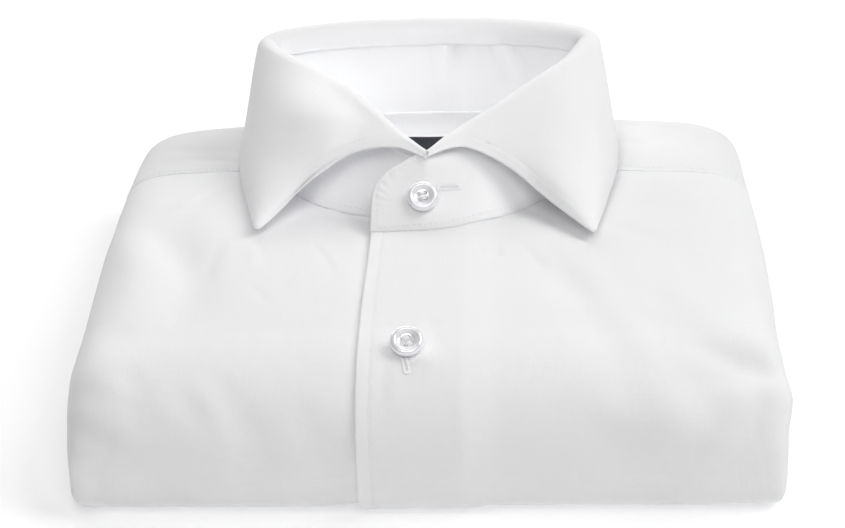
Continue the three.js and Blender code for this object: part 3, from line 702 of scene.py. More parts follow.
# ---- The fronts and yoke ----
def seam_groove(distance, seam, depth=0.14, wide=0.55):
    """A pressed edge: a groove at the stitching and a slight swell between it and the edge."""
    swell = 0.4 * depth * np.sin(math.pi * clamp(distance / seam)) * (distance < seam)
    return swell - depth * bell((distance - seam) / wide)


def tuck_under_yoke(stations):
    """How far the front's top edge is pressed down, so that it goes under the yoke's edge."""
    y = np.array([s[1] if s[0] == "top" else -FAR for s in stations])
    return -TUCK_DEPTH * smooth((y - (YOKE_SEAM_Y - TUCK_LONG)) / TUCK_LONG)


def drape(grid, height, floor=0.0):
    moved = grid + grid_normals(grid) * height[..., None]
    moved[..., 2] = np.maximum(moved[..., 2], floor)
    return moved


def pressed_flat(grid, stations):
    """1 where creases are free to rise, 0 on the underside that the shirt lies on."""
    def freedom(part, turn):
        if part == "under":
            return 0.0
        return 1.0 if part in ("top", "back") and turn > -60 else float(smooth((turn + 78) / 40))

    free = np.array([freedom(part, turn) for part, _, turn in stations])
    return free[:, None] * smooth((grid[..., 2] - 1.0) / 7)


def folded_row(station, flat, off, depth, sides, bare=None):
    """A row through the flat places in x, and round the side folds on the sides that are asked for."""
    def joined(folded, middle, mirror=1):
        return np.concatenate([folded[::-1] * mirror] * (-1 in sides) + [middle] + [folded] * (1 in sides))

    pad, ones = np.zeros(len(flat)), np.ones(len(off))
    bare = np.zeros(len(off)) if bare is None else bare
    return body_row(station, joined(ones * np.nan, flat), joined(ones, pad, -1), joined(off, pad),
                    joined(depth, pad), joined(bare, pad).astype(bool))


def front_lines(stations):
    """The run and the opening's edge at each station."""
    return np.array([run_of(*s) for s in stations]), np.array([front_edge(s) for s in stations])


def upper_front():
    stations = front_stations(STEP)
    near = np.array([0, 0.5, 1.2, 2.1, 3.0, 3.5, 3.8, 4.1, 4.4, 4.7, 5.3, 6.4, 8.0])
    rows = []
    for station in stations:
        edge = front_edge(station)
        flat = np.concatenate([edge + near, np.linspace(edge + 9.6, flat_edge(station, 1), 66)])
        rows.append(folded_row(station, flat, *side_places(SIDE_COUNT), (1,)))
    grid = np.array(rows)
    run, edges = front_lines(stations)
    lift = np.array([RAISE * overlap(s, grid[i, :, 0]) * (1 - under(s)) for i, s in enumerate(stations)])
    uv = surface_uv(grid, 0, edges, run)
    distance = uv[..., 0] - edges[:, None]
    free = pressed_flat(grid, stations)
    puckers = 0.07 * noise(uv[..., 1], distance * 0.3, 4.3) * bell((distance - 3) / 3.2)
    height = lift + free * cloth_bumps(CREASES, uv)
    height += (seam_groove(distance, EDGE_SEAM) + puckers) * np.minimum(1, free + 0.3)
    height += tuck_under_yoke(stations)[:, None]
    grid = drape(grid, height)
    # its corner left of the neck's front is cut away, where the band covers the edge
    corner = np.array([(-34, 1.2), (-2, 1.2), (-2, 24), (-34, 24)], float)
    points, faces = cut_outline(*cut_neck(grid), corner)
    obj, tree = shell("cloth_front_upper", points, faces, WALL["front"], uv.reshape(-1, 2))
    column = int(np.argmin(abs(near - EDGE_SEAM)))
    seam = [p for p, s in zip(grid[:, column], stations) if p[1] < -6 or s[0] != "top"]
    return obj, tree, np.array(seam)


def lower_front():
    stations = front_stations(STEP)
    rows = []
    for station in stations:
        edge = front_edge(station)
        flat = np.concatenate([np.linspace(flat_edge(station, -1), edge - 9, 44), edge + np.array([-7, -5, -3, -1.5]),
                               np.linspace(edge + 1, edge + UNDERLAP, 14)])
        rows.append(folded_row(station, flat, *side_places(SIDE_COUNT), (-1,)))
    grid = np.array(rows)
    run, edges = front_lines(stations)
    press = np.array([-RAISE * smooth((grid[i, :, 0] - edges[i] + 9) / 7) * under(s) for i, s in enumerate(stations)])
    uv = surface_uv(grid, grid.shape[1] - 1, edges + UNDERLAP, run)
    hidden = smooth((uv[..., 0] - edges[:, None] + 3) / 6)
    bumps = cloth_bumps(CREASES, uv)
    bumps = pressed_flat(grid, stations) * lerp(bumps, np.minimum(bumps, 0) * 0.3, hidden)
    points, faces = cut_neck(drape(grid, press + bumps + tuck_under_yoke(stations)[:, None]))
    return shell("cloth_front_lower", points, faces, WALL["front"], uv.reshape(-1, 2))[0]


def yoke_piece():
    stations = yoke_stations(STEP)
    rows = []
    for station in stations:
        flat = np.linspace(flat_edge(station, -1), flat_edge(station, 1), 122)
        rows.append(folded_row(station, flat, *side_places(SIDE_COUNT), (-1, 1)))
    grid = np.array(rows)
    middle = SIDE_COUNT + 61
    run = travelled(grid[:, middle - 1])
    run = run - run[-1]
    uv = surface_uv(grid, middle, grid[:, middle, 0], run)
    distance = -uv[..., 1]
    puckers = 0.06 * noise(uv[..., 0], distance * 0.3, 5) * bell((distance - 1.8) / 2.4)
    height = pressed_flat(grid, stations) * cloth_bumps(YOKE_CREASES, uv, 400)
    height += seam_groove(distance, NARROW_SEAM, 0.1) + puckers
    grid = drape(grid, height)
    obj, tree = shell("cloth_yoke", *cut_neck(grid), WALL["yoke"], uv.reshape(-1, 2))
    # the seam's stitching, left and right of the neck
    row = lerp(grid[-2], grid[-3], 0.1)
    clear = ~inside_outline(row, neck_ring(1.04)) & (row[:, 2] > CUT_ABOVE)
    middle_x = np.mean(neck_ring(1.0)[:, 0])
    return obj, tree, [row[clear & (row[:, 0] < middle_x)], row[clear & (row[:, 0] > middle_x)]]


def neck_area(x, y):
    """1 in an oval under the neck, 0 outside it."""
    away = np.hypot((x - COLLAR_CENTRE_X) / 88, (y - 48) / 78)
    return 1 - smooth((away - 0.82) / 0.2)


def layer_edge(count):
    """Three soft folded edges of hidden layers, in the slot between the shirt's body and its tail."""
    at = np.linspace(0, 1, count)
    depth = 0.79 + 0.21 * at
    ridges = abs(np.sin(at * math.pi * 3)) ** 0.6
    off = -13 + 6.2 * np.sin(at * math.pi) ** 0.5 + 3.0 * ridges * (at > 0) * (at < 1)
    return off, depth


def folded_layers():
    tops = np.linspace(FRONT_PIVOT_Y, BACK_PIVOT_Y, 60)
    stations = level_stations("top", tops) + fold_stations("back", 3)
    stations += level_stations("under", tops[::-1]) + fold_stations("front", 3)[::-1]
    off, depth = side_places(10)
    edge_off, edge_depth = layer_edge(19)
    depth = np.concatenate([depth, edge_depth])
    bare = np.arange(len(depth)) >= len(off)
    rows = []
    for station in stations:
        flat = np.linspace(flat_edge(station, -1), flat_edge(station, 1), 60)
        wavy = 0.5 * noise(station[1] * np.ones(len(edge_off)), edge_depth * 60 + 40, 17) * (edge_depth < 0.995)
        rows.append(folded_row(station, flat, np.concatenate([off, edge_off + wavy]), depth, (-1, 1), bare))
    grid = np.array(rows)
    flags = np.concatenate([bare[::-1], np.zeros(60, bool), bare])
    normals = grid_normals(np.concatenate([grid[-1:], grid, grid[:1]]))[1:-1]
    edges = np.array([front_edge(s) for s in stations])[:, None]
    below = np.array([0.0 if s[0] == "back" else under(s) for s in stations])[:, None]
    on_top = np.array([float(s[0] == "top") for s in stations])[:, None]
    doubled = smooth((grid[..., 0] - edges + 16) / 7) * (1 - smooth((grid[..., 0] - edges - UNDERLAP - 6) / 12))
    inset = CORE_GAP + RAISE * doubled * below + on_top * NECK_DIP * neck_area(grid[..., 0], grid[..., 1])
    points = (grid + normals * np.where(flags, 0, inset)[..., None]).reshape(-1, 3)
    # a row's two ends lie in the slot's middle line, where upper and lower rows meet
    keys = [tuple(p) for p in np.round(points, 3).tolist()]
    first = {}
    for i, key in enumerate(keys):
        first.setdefault(key, i)
    same = np.array([first[key] for key in keys])
    faces = []
    for f in same[grid_quads(*grid.shape[:2], wrap=True)[:, ::-1]].tolist():
        loop = [a for k, a in enumerate(f) if a != f[k - 1]]
        if 3 <= len(loop) == len(set(loop)):
            faces.append(tuple(loop))
    uv = np.stack([points[:, 0], points[:, 1] + np.where(points[:, 2] > PIVOT_Z, 400, 0)], -1)
    return mesh_object("cloth_folded_layers", points, faces, uv)


# ---- The collar ----
def collar_point(tab, s, side, corner=None):
    zero = np.zeros_like(s)
    column = lambda c: read(tab, s, c, corner) if c in tab else zero
    return np.stack(
        [COLLAR_CENTRE_X + side * column("x") + column("shift"), column("y") + side * column("skew"), column("z")], -1
    )


def column_of(v):
    return np.asarray(v)[:, None]


def band_frame(s, side, inner=0.0, past=0.0):
    """The band's frame at places along it: how far the band is the inner of two there, and past the front centre."""
    s = np.asarray(s, float)
    side, inner, past = (np.broadcast_to(np.asarray(v, float), s.shape) for v in (side, inner, past))
    base, fold = collar_point(NECK_SEAM, s, side), collar_point(FOLD_LINE, s, side)
    lower = np.where(side < 0, 1 - smooth((s - 0.03) / 0.3), inner)
    base[:, 0] -= past
    fold[:, 0] -= past
    base[:, 1] += LOWER_BACK * lower - 0.05 * past
    over = [float(overlap(("top", float(b[1]), 90.0), b[0] - 4)) for b in base]
    lifted = np.where(lower > 0, 0, RAISE * np.array(over))
    base[:, 2] = top_at(base[:, 0], base[:, 1]) + lifted + GAP
    up = unit(fold - base)
    before, after = np.maximum(0, s - 0.02), np.minimum(1, s + 0.02)
    flat = np.array([1.0, 1.0, 0.0])
    straight = np.array([1.0, 0.0, 0.0])

    def ahead(tab):
        run = unit((collar_point(tab, after, side) - collar_point(tab, before, side)) * flat)
        at = np.where(past > 0, 0, smooth(s / 0.06))[:, None]
        mixed = straight * side[:, None] * (1 - at) + run * at
        return np.where((s > 0.98)[:, None], -straight * side[:, None], mixed)

    out = unit(np.cross(ahead(FOLD_LINE), up) * side[:, None])
    level = unit(np.cross(ahead(NECK_SEAM), [0.0, 0.0, 1.0]) * side[:, None])
    roll = lerp(ROLL[0], ROLL[1], smooth(s / 0.2))
    centre = fold + up * (-roll - BAND / 2)[:, None]
    lip = lerp(LIP[0], LIP[1], smooth(s / 0.2))
    return {"base": base, "up": up, "out": out, "level": level, "roll": roll, "centre": centre, "lip": lip,
            "past": past, "inner": inner}


def stand_points(f, share, away):
    """Points at a share up the stand, away from the middle of its wall."""
    col = column_of
    top = f["centre"] - f["out"] * col(f["roll"]) - f["up"] * col(f["lip"] + GAP + 0.5)
    end = np.where(f["past"] > 0, np.sqrt(np.maximum(0, 1 - (f["past"] / STAND_END) ** 2.2)), 1)
    tall = lerp(STAND_END_HEIGHT, 1, end)
    lean = 1 / np.maximum(0.5, (f["out"] * f["level"]).sum(-1))
    shift = f["level"] * col(lean * (1 - share)) + f["out"] * share
    foot = f["base"] - f["level"] * col(f["roll"] * 0.5 * lean)
    point = lerp(foot, top, col(share * tall))
    return point + shift * col(away - (BAND + GAP + 0.3) * f["inner"])


def ring_s(count):
    """Places from the front centre to the back centre, closer together at the leaf's point."""
    s = np.linspace(0, 1, count)
    return np.unique(np.concatenate([s, [LEAF_EDGE["s"][LEAF_TIP]]]))


# Pleats drawn in by the stitching of the stand's rounded end: turn is round the end, 90 is up and 180 is its tip.
END_PLEATS = table(
    "turn wide depth far",
    (104, 5, 0.22, 6),
    (121, 6, 0.42, 8),
    (137, 5, 0.5, 9),
    (153, 6, 0.46, 8),
    (171, 5, 0.26, 6),
)
# Hollows and swells in the back of the band, seen through the neck: x and up are the middle.
NECK_FOLDS = table(
    "x up wide tall lean lift",
    (3.0, 33, 3.2, 13, 0.10, 1.9),
    (10.5, 25, 6.5, 14, 0.0, -1.5),
    (27.5, 34, 3.4, 12, -0.30, 2.2),
    (34.0, 28, 4.0, 9, -0.3, -1.2),
    (43.0, 28, 6.0, 14, -0.3, 1.9),
    (17.5, 35, 3.0, 6, 0, 0.8),
    (-12.0, 32, 4.5, 10, 0.1, 0.6),
    (-26.0, 26, 8.0, 14, 0, -0.5),
    (-40.0, 30, 5.0, 12, 0, 0.6),
)


def collar_shell(name, grid, along, up, thickness):
    uv = np.stack([along, up], -1).reshape(-1, 2)
    return shell(name, grid.reshape(-1, 3), grid_quads(*grid.shape[:2])[:, ::-1], thickness, uv)


def stand_piece():
    s = ring_s(150)
    past = STAND_END * np.sin(np.radians(np.linspace(0, 90, 30)[1:])) ** 0.85
    lap = np.linspace(0.11, 0.006, 14)  # the left end goes on under the right one
    ring = np.concatenate([lap, s, s[::-1][1:], 0 * past])
    side = np.concatenate([0 * lap + 1, -np.ones(len(s)), np.ones(len(s) - 1 + len(past))])
    inner = np.concatenate([0 * lap + 1, 1 - smooth((s - 0.1) / 0.16), np.zeros(len(s) - 1 + len(past))])
    pasts = np.concatenate([np.zeros(len(ring) - len(past)), past])
    f = band_frame(ring, side, inner, pasts)
    shares = np.concatenate([[0, 0.012, 0.03, 0.05, 0.07, 0.095], np.linspace(0.13, 1, 30)])
    grid = np.stack([stand_points(f, share, BAND / 2) for share in shares], axis=1)
    # the band's top runs up into the fold where the two halves of the leaf meet
    round_front = np.where(pasts > 0, pasts, ring * 190)
    peak = 3.6 * bell(round_front / 7.0) * (inner < 0.5)
    grid = grid + f["up"][:, None, :] * (peak[:, None] * shares[None, :] ** 2)[..., None]
    up = travelled_across(grid)
    along = column_of(travelled(grid[:, 0])) + 0 * up
    near_top = up[:, [-1]] - up
    near_end = along[-1] - along
    at_end = pasts[:, None] > 0
    distance = np.minimum(np.minimum(up, near_end), np.where(at_end, near_top, FAR))
    puckers = 0.05 * noise(along, up, 5) * bell((distance - 2) / 2.5)
    seam = seam_groove(distance, NARROW_SEAM, 0.05) + puckers
    # the rounded end's pleats
    centre = np.array([along[-1, 0] - 10.5, 10.0])
    turn = np.degrees(np.arctan2(up - centre[1], -(along - centre[0])))
    pleats = np.zeros_like(up)
    for angle, wide, depth, far in zip(*END_PLEATS.values()):
        window = smooth((distance - 0.5) / 1.6) * (1 - smooth((distance - 3) / (far - 3)))
        across = (turn - angle) / wide
        pleats -= depth * window * (bell(across) - 0.5 * bell(across - 1.8))
    near_front = (near_end < 24) & (side[:, None] > 0) & (inner[:, None] == 0)
    height = seam + 0.12 * noise(along, up + 90, 21) + pleats * near_front
    # the soft folds inside the back, where the outer side is hidden by the leaf
    at_back = smooth((ring - 0.55) / 0.15)[:, None]
    for x, high, wide, tall, lean, lift in zip(*NECK_FOLDS.values()):
        across = (grid[..., 0] - x - lean * (up - high)) / wide
        height = height + at_back * lift * np.exp(-(across**2) - ((up - high) / tall) ** 2) * smooth(up / 9)
    grid = drape(grid, height)
    obj, tree = collar_shell("cloth_collar_stand", grid, along, up, WALL["stand"])
    # stitching round the buttoned end and along the seam, as seen from outside
    column = 4  # where the seam's stitching lies
    outer_half = np.nonzero((side > 0) & (inner == 0) & (near_end[:, 0] > NARROW_SEAM))[0]
    line = [grid[i, column] for i in outer_half]
    last = outer_half[-1]
    line += [grid[last, j] for j in range(column, grid.shape[1]) if near_top[last, j] > NARROW_SEAM]
    for i in np.nonzero(at_end[:, 0])[0][::-1]:
        if near_top[i, 0] > 2.2 and near_end[i, 0] > NARROW_SEAM:
            line.append(grid[i, min(np.searchsorted(-near_top[i], -NARROW_SEAM), grid.shape[1] - 1)])
    left = grid[(side < 0) & (ring < 0.55), column]
    return obj, tree, [np.array(line), left]


def soften_point(middle, ring, first):
    """Rounds the crease that would run up the leaf from its point, away from the edge and the fold."""
    count = middle.shape[1]
    near_tip = bell((ring - LEAF_EDGE["s"][LEAF_TIP]) / 0.13)[:, None]
    softened = middle.copy()
    for j in range(first, count - 1):
        drop = np.linalg.norm(middle[:, j] - middle[:, first], axis=1)
        left_over = np.linalg.norm(middle[:, -1] - middle[:, j], axis=1)
        reach = float(np.median(np.minimum(drop, left_over * 1.1)))
        sigma = min(16.0, 0.9 * reach)
        if sigma < 0.4:
            continue
        offsets = np.arange(-int(3 * sigma), int(3 * sigma) + 1)
        weights = np.exp(-((offsets / sigma) ** 2) / 2)
        weights /= weights.sum()
        padded = np.pad(middle[:, j], ((len(offsets) // 2,) * 2, (0, 0)), "edge")
        even = np.stack([np.convolve(padded[:, k], weights, mode="valid") for k in range(3)], -1)
        softened[:, j] = lerp(middle[:, j], even, near_tip)
    return softened


def leaf_piece():
    s = ring_s(240)
    front = 0.004
    left = np.concatenate([[front], s[s > front]])
    ring = np.concatenate([left, left[::-1][1:]])
    side = np.where(np.arange(len(ring)) < len(left), -1.0, 1.0)
    f = band_frame(ring, side)
    # the fold closes up towards the front, where the leaf leaves the band
    col = column_of
    tight = lerp(lerp(0.45, 0.6, smooth(ring / 0.1)), 1, smooth((ring - 0.2) / 0.4))
    fold = f["centre"] + f["up"] * col(f["roll"] + BAND / 2)
    fold = fold - f["up"] * col(LEAF_DROP * (1 - smooth(ring / 0.12)))
    # the seam inside keeps its height over the band, whatever the fold does
    depth = (f["roll"] + f["lip"]) * lerp(0.45, 1, smooth(ring / 0.07))
    f["roll"] = f["roll"] * tight
    f["lip"] = depth - f["roll"]
    f["centre"] = fold - f["up"] * col(f["roll"] + BAND / 2)
    edge = collar_point(LEAF_EDGE, ring, side, LEAF_TIP)
    meeting = f["centre"] + f["out"] * col(f["roll"] + 0.5) - f["up"] * LEAF_DROP
    edge = lerp(meeting, edge, col(smooth(ring / 0.068)))
    back = f["centre"] - f["out"] * col(f["roll"])
    lines = [lerp(back - f["up"] * col(f["lip"]), back, t) for t in (0, 0.33, 0.66)]
    for turn in np.linspace(180, 25, 13):
        a = math.radians(turn)
        lines.append(f["centre"] + f["out"] * col(f["roll"] * math.cos(a)) + f["up"] * col(f["roll"] * math.sin(a)))
    start = lines[-1]
    fall = edge - start
    long = np.linalg.norm(fall, axis=1)
    belly = LEAF_BELLY * long * smooth((ring - 0.1) / 0.3)
    near = np.array([8.0, 6.8, 5.8, 5.1, 4.6, 4.2, 3.8, 3.3, 2.5, 1.6, 0.8, 0.0])
    scale = np.minimum(1, long / 26)
    shares = [t * (1 - near[0] * scale / long) for t in np.linspace(0, 1, LEAF_ROWS)[1:]]
    for share in shares + [clamp(1 - d * scale / long) for d in near[1:]]:
        lines.append(start + fall * col(share) + f["out"] * col(belly * np.sin(math.pi * share**0.8)))
    first = len(lines) - len(near) - LEAF_ROWS + 1
    middle = soften_point(np.stack(lines, axis=1), ring, first)
    # a soft bend down the leaf on the left, flat outside it and turned to the front inside it
    fallen = clamp((np.arange(middle.shape[1]) - first) / (middle.shape[1] - 1 - first))[None, :]
    bend = LEAF_BEND["high"] * bell((middle[..., 0] - lerp(*LEAF_BEND["x"], fallen)) / LEAF_BEND["wide"])
    bend = bend * smooth(fallen / 0.3) * lerp(1, 0.35, fallen**3)
    bend = bend * (side < 0)[:, None] * smooth((col(long) - 16) / 26)
    grid = middle + grid_normals(middle) * bend[..., None]
    grid = grid + grid_normals(grid) * (BAND / 2 - 0.25)
    # distance from the free edge, past its corners too
    rim, flat_grid = grid[:, -1], grid.reshape(-1, 3)
    distance = np.full(len(flat_grid), FAR)
    for a, b in zip(rim[:-1], rim[1:]):
        t = clamp(((flat_grid - a) @ (b - a)) / max(1e-9, (b - a) @ (b - a)))
        distance = np.minimum(distance, np.linalg.norm(flat_grid - (a + (b - a) * t[:, None]), axis=1))
    on_face = np.arange(grid.shape[1]) > first
    distance = np.where(on_face, distance.reshape(grid.shape[:2]), FAR)
    up = travelled_across(grid)
    along = np.broadcast_to(col(travelled(grid[:, 30])), up.shape)
    height = seam_groove(distance, EDGE_SEAM, 0.13, 0.6)
    puckers = 0.05 * noise(along, up, 6) * bell((distance - 3) / 3)
    height += puckers + 0.16 * noise(along, up + 50, 30) * on_face
    # the narrow band between fold and seam inside the back is drawn into small puckers
    x = grid[..., 0]
    drawn = smooth((x + 10) / 6) * (1 - smooth((x - 44) / 8))
    lip_row = (np.arange(grid.shape[1]) < 3)[None, :] * col(smooth((ring - 0.5) / 0.2)) * (0.35 + 1.3 * drawn)
    puckers = 0.32 * noise(x, 0 * up, 2.6) + 0.1 * noise(x, 0 * up + 9, 7)
    grid = drape(grid, height * col(smooth(long / 20)) + lip_row * puckers)
    thick = col(lerp(0.8, 1.5, smooth(ring / 0.07))) * lerp(0.7, 1, smooth(distance / 5))
    obj, tree = collar_shell("cloth_collar_leaf", grid, along, up, thick.ravel())
    # the stitching's line, on each side of each point
    rim, normals = grid[:, -1], grid_normals(grid)[:, -1]
    tips = [int(np.argmin(abs(ring - LEAF_EDGE["s"][LEAF_TIP]) + (side != k) * 9)) for k in (-1, 1)]
    rows = []
    for lo, hi in zip([0] + tips, tips + [len(ring) - 1]):
        part = rim[lo : hi + 1]
        inward = unit(np.cross(unit(np.gradient(part, axis=0)), normals[lo : hi + 1]))
        inward *= np.sign(((grid[lo : hi + 1, -4] - part) * inward).sum(1, keepdims=True) + 1e-9)
        line = part + inward * EDGE_SEAM
        rows.append(np.array([p for p in line if np.min(np.linalg.norm(rim - p, axis=1)) > EDGE_SEAM * 0.93]))
    return obj, tree, rows


# ---- Inside the neck ----
def floor_z(x, y, share):
    """Height of the yoke's lining, which sags towards the middle of the neck."""
    return top_at(x, y) - RAISE - 0.1 - 2.2 * (1 - np.asarray(share) ** 2)


INSIDE_RISE = 0.125  # the inside yoke is seamed to the band this share up it, at the back
INSIDE_AWAY = BAND / 2 - 3.0  # from the middle of the band's wall
INSIDE_LOW = 0.93  # the share of the neck that its floor fills


def yoke_inside():
    s = np.linspace(0, 1, 70)
    ring = np.concatenate([s, s[::-1][1:-1]])
    at_back = column_of(smooth((ring - 0.34) / 0.25))
    f = band_frame(ring, np.where(np.arange(len(ring)) < len(s), -1.0, 1.0))
    outline = neck_ring(1.0, len(s))

    def level(share):
        ring = (outline - NECK_CENTRE) * share + NECK_CENTRE
        ring[:, 1] = np.minimum(ring[:, 1], BACK_PIVOT_Y - 1.5)
        return np.column_stack([ring, floor_z(ring[:, 0], ring[:, 1], min(1.0, share))])

    def at_band(share, more=0.0):
        return stand_points(f, share, np.full(len(ring), INSIDE_AWAY + more))

    low = level(INSIDE_LOW)
    foot = at_band(0.0)
    foot[:, 2] = np.maximum(low[:, 2] + 0.9, foot[:, 2] - 1.6)
    rings = []
    for share in np.linspace(INSIDE_RISE, 0.012, 9):
        risen = at_band(share, 0.45 * smooth(share / INSIDE_RISE))
        rings.append(lerp(level(1.03 - 0.1 * (INSIDE_RISE - share) / INSIDE_RISE), risen, at_back))
    for t in (0.25, 0.5, 0.75):
        turn = lerp(foot, low, t)
        turn[:, 2] -= 0.5 * math.sin(math.pi * t)
        rings.append(lerp(low, turn, at_back))
    grid = np.array(rings + [level(share) for share in np.linspace(INSIDE_LOW, 0.02, 34)])
    wave = 0.22 * noise(grid[..., 0], grid[..., 1], 24) + 0.1 * noise(grid[..., 0] + 70, grid[..., 1], 9)
    grid[..., 2] += wave * column_of(smooth((np.arange(len(grid)) - 10) / 6))
    # the rings close on themselves, and a point in the middle closes the floor
    rows, count = grid.shape[:2]
    points = np.concatenate([grid.reshape(-1, 3), grid[-1].mean(axis=0)[None]])
    same = np.arange(rows * count).reshape(rows, count)
    same = np.concatenate([same, same[:, :1]], axis=1)
    faces = same.ravel()[grid_quads(rows, count + 1)]
    last = rows * count
    fan = [[same[-1, k], last, last, same[-1, k + 1]] for k in range(count)]
    faces = np.concatenate([faces, fan])
    return shell("cloth_yoke_inside", points, faces, WALL["yoke"], points[:, :2] + [0, 900])[0]


def label_piece():
    wide, long = LABEL["wide"] / 2, LABEL["long"] / 2
    rows = np.linspace(LABEL["y"] + long, LABEL["y"] - long, 34)
    v, u = np.meshgrid(rows - LABEL["y"], np.linspace(-wide, wide, 60), indexing="ij")
    x, y = COLLAR_CENTRE_X + u, rows[:, None] + 0 * u
    share = np.minimum(1, np.hypot((x - COLLAR_CENTRE_X) / 62, (y - NECK_CENTRE[1]) / 52))
    rim = np.minimum(wide - abs(u), long - abs(v))
    z = floor_z(x, y, share) + 0.6 + 1.0 + (0.12 * noise(u, v, 9) - 0.35 * bell(rim / 1.6))
    grid, uv = np.stack([x, y, z], -1), np.stack([u, v], -1)
    faces = grid_quads(*grid.shape[:2])
    obj, tree = shell("label_woven", grid.reshape(-1, 3), faces, WALL["label"], uv.reshape(-1, 2))
    border = [grid[2, 2:-2], grid[2:-2, -3], grid[-3, 2:-2][::-1], grid[2:-2, 2][::-1]]
    return obj, tree, np.concatenate(border)


# ---- Buttons ----
def button_mesh(name):
    radius, thick, hole, hole_at = (BUTTON[k] for k in ("radius", "thick", "hole", "hole_at"))
    profile = [
        (0, 0), (radius - 1.6, 0), (radius - 0.8, 0.22), (radius - 0.25, 0.8), (radius, 1.55), (radius - 0.12, 2.15),
        (radius - 0.5, 2.7), (radius - 1.05, thick), (radius - 1.6, thick), (radius - 2.1, thick - 0.3),
        (radius - 2.55, thick - 0.85), (radius - 3.0, thick - 1.15), (radius - 3.8, thick - 1.3), (0, thick - 1.35),
    ]
    # a smooth curve through the profile
    raw = np.array(profile, float)
    at = travelled(raw)
    tab = {"t": at, "r": raw[:, 0], "z": raw[:, 1]}
    t = np.linspace(0, at[-1], 64)[1:-1]
    line = np.stack([read(tab, t, "r"), read(tab, t, "z")], -1)
    turns = 72
    points = [(0, 0, 0)]
    for r, z in line:
        for k in range(turns):
            a = math.tau * k / turns
            points.append((r * math.cos(a), r * math.sin(a), z))
    points.append((0, 0, raw[-1, 1]))
    faces = [(0, 1 + (k + 1) % turns, 1 + k) for k in range(turns)]
    for i in range(len(line) - 1):
        for k in range(turns):
            a, b = 1 + i * turns + k, 1 + i * turns + (k + 1) % turns
            faces.append((a, b, b + turns, a + turns))
    start = 1 + (len(line) - 1) * turns
    faces += [(start + k, start + (k + 1) % turns, len(points) - 1) for k in range(turns)]
    mesh = bpy.data.meshes.new(name)
    mesh.from_pydata((np.array(points) / 1000).tolist(), [], faces)
    obj = linked(name, mesh)
    for quarter in (45, 135, 225, 315):
        a = math.radians(quarter)
        bpy.ops.mesh.primitive_cylinder_add(
            vertices=24, radius=hole / 1000, depth=0.008,
            location=(hole_at * math.cos(a) / 1000, hole_at * math.sin(a) / 1000, 0.0015))
        drill = bpy.context.object
        cut = obj.modifiers.new("hole", "BOOLEAN")
        cut.operation, cut.object, cut.solver = "DIFFERENCE", drill, "EXACT"
        bpy.context.view_layer.update()
        drilled = bpy.data.meshes.new_from_object(obj.evaluated_get(bpy.context.evaluated_depsgraph_get()))
        obj.modifiers.clear()
        obj.data = drilled
        bpy.data.objects.remove(drill)
    obj.data.name = name
    obj.data.polygons.foreach_set("use_smooth", np.full(len(obj.data.polygons), True))
    return obj


def button_threads(name, point, facing, spin):
    """Four strands through the holes, and the short shank under the button."""
    facing = unit(np.asarray(facing, float))
    q = Vector((0, 0, 1)).rotation_difference(Vector(facing))
    frame_x = np.array(q @ Vector((math.cos(math.radians(spin)), math.sin(math.radians(spin)), 0)))
    frame_y = np.cross(facing, frame_x)
    centre = np.asarray(point, float) + facing * BUTTON_GAP
    top = BUTTON["thick"] - 1.3
    hole = BUTTON["hole_at"] * math.cos(math.radians(45))
    parts = []
    for y in (-hole, hole):
        for shift in (-0.22, 0.0, 0.22):
            middle = centre + frame_y * (y + shift * 0.8) + facing * (top + 0.1 + 0.06 * abs(shift))
            parts.append((middle, frame_x, facing, 2 * hole + 0.9, 0.19, 0.75))
    for k in range(6):
        a = math.tau * k / 6
        spoke = frame_x * math.cos(a) + frame_y * math.sin(a)
        middle = centre + spoke * 0.8 - facing * 0.35
        parts.append((middle, unit(facing + 0.25 * np.cross(facing, spoke)), spoke, 1.7, 0.22, 0.05))
    return threads(name, parts)


def buttonhole(name, tree, start, end):
    """Dense stitches on both sides of a slit, and a bar across each end."""
    start, end = np.asarray(start, float), np.asarray(end, float)
    length = np.linalg.norm(end - start)
    count = int(length / 0.36)
    parts = []
    for k in range(count + 1):
        p, normal = on_surface(tree, lerp(start, end, k / count))
        q, _ = on_surface(tree, lerp(start, end, min(1, k / count + 0.02)) if k < count else lerp(start, end, 0.98))
        along = unit(q - p) * (1 if k < count else -1)
        side = unit(np.cross(normal, along))
        for sign in (-1, 1):
            parts.append((p + side * sign * 0.78 + normal * 0.04, side, normal, 1.15, 0.17, 0.1))
        if k in (0, count):
            for shift in (-0.5, -0.2, 0.1, 0.4):
                parts.append((p + along * shift + normal * 0.1, side, normal, 2.7, 0.18, 0.12))
    return threads(name, parts)


# ---- Materials ----
def new_material(name, **settings):
    material = bpy.data.materials.new(name)
    material.use_nodes = True
    tree = material.node_tree
    shader = next(n for n in tree.nodes if n.type == "BSDF_PRINCIPLED")
    for socket, value in settings.items():
        shader.inputs[socket.replace("_", " ")].default_value = value
    return material, tree, shader


def node_of(tree, kind, output, settings=(), links=()):
    """A node with these inputs set and these linked, and the output asked for."""
    node = tree.nodes.new("ShaderNode" + kind)
    for key, value in dict(settings).items():
        node.inputs[key].default_value = value
    for key, value in dict(links).items():
        tree.links.new(value, node.inputs[key])
    return node.outputs[output]


def math_node(tree, operation, *values):
    result = node_of(tree, "Math", 0)
    result.node.operation = operation
    for socket, value in zip(result.node.inputs, values):
        if isinstance(value, (int, float)):
            socket.default_value = value
        else:
            tree.links.new(value, socket)
    return result


def mixed(tree, *terms):
    """The sum of two values, each times its share."""
    return math_node(tree, "ADD", *(math_node(tree, "MULTIPLY", value, share) for value, share in terms))


def object_place(tree):
    return node_of(tree, "TexCoord", "Object")


def noise_node(tree, vector, scale, detail, rough=0.55):
    settings = {"Scale": scale, "Detail": detail, "Roughness": rough}
    return node_of(tree, "TexNoise", "Fac", settings, {"Vector": vector})


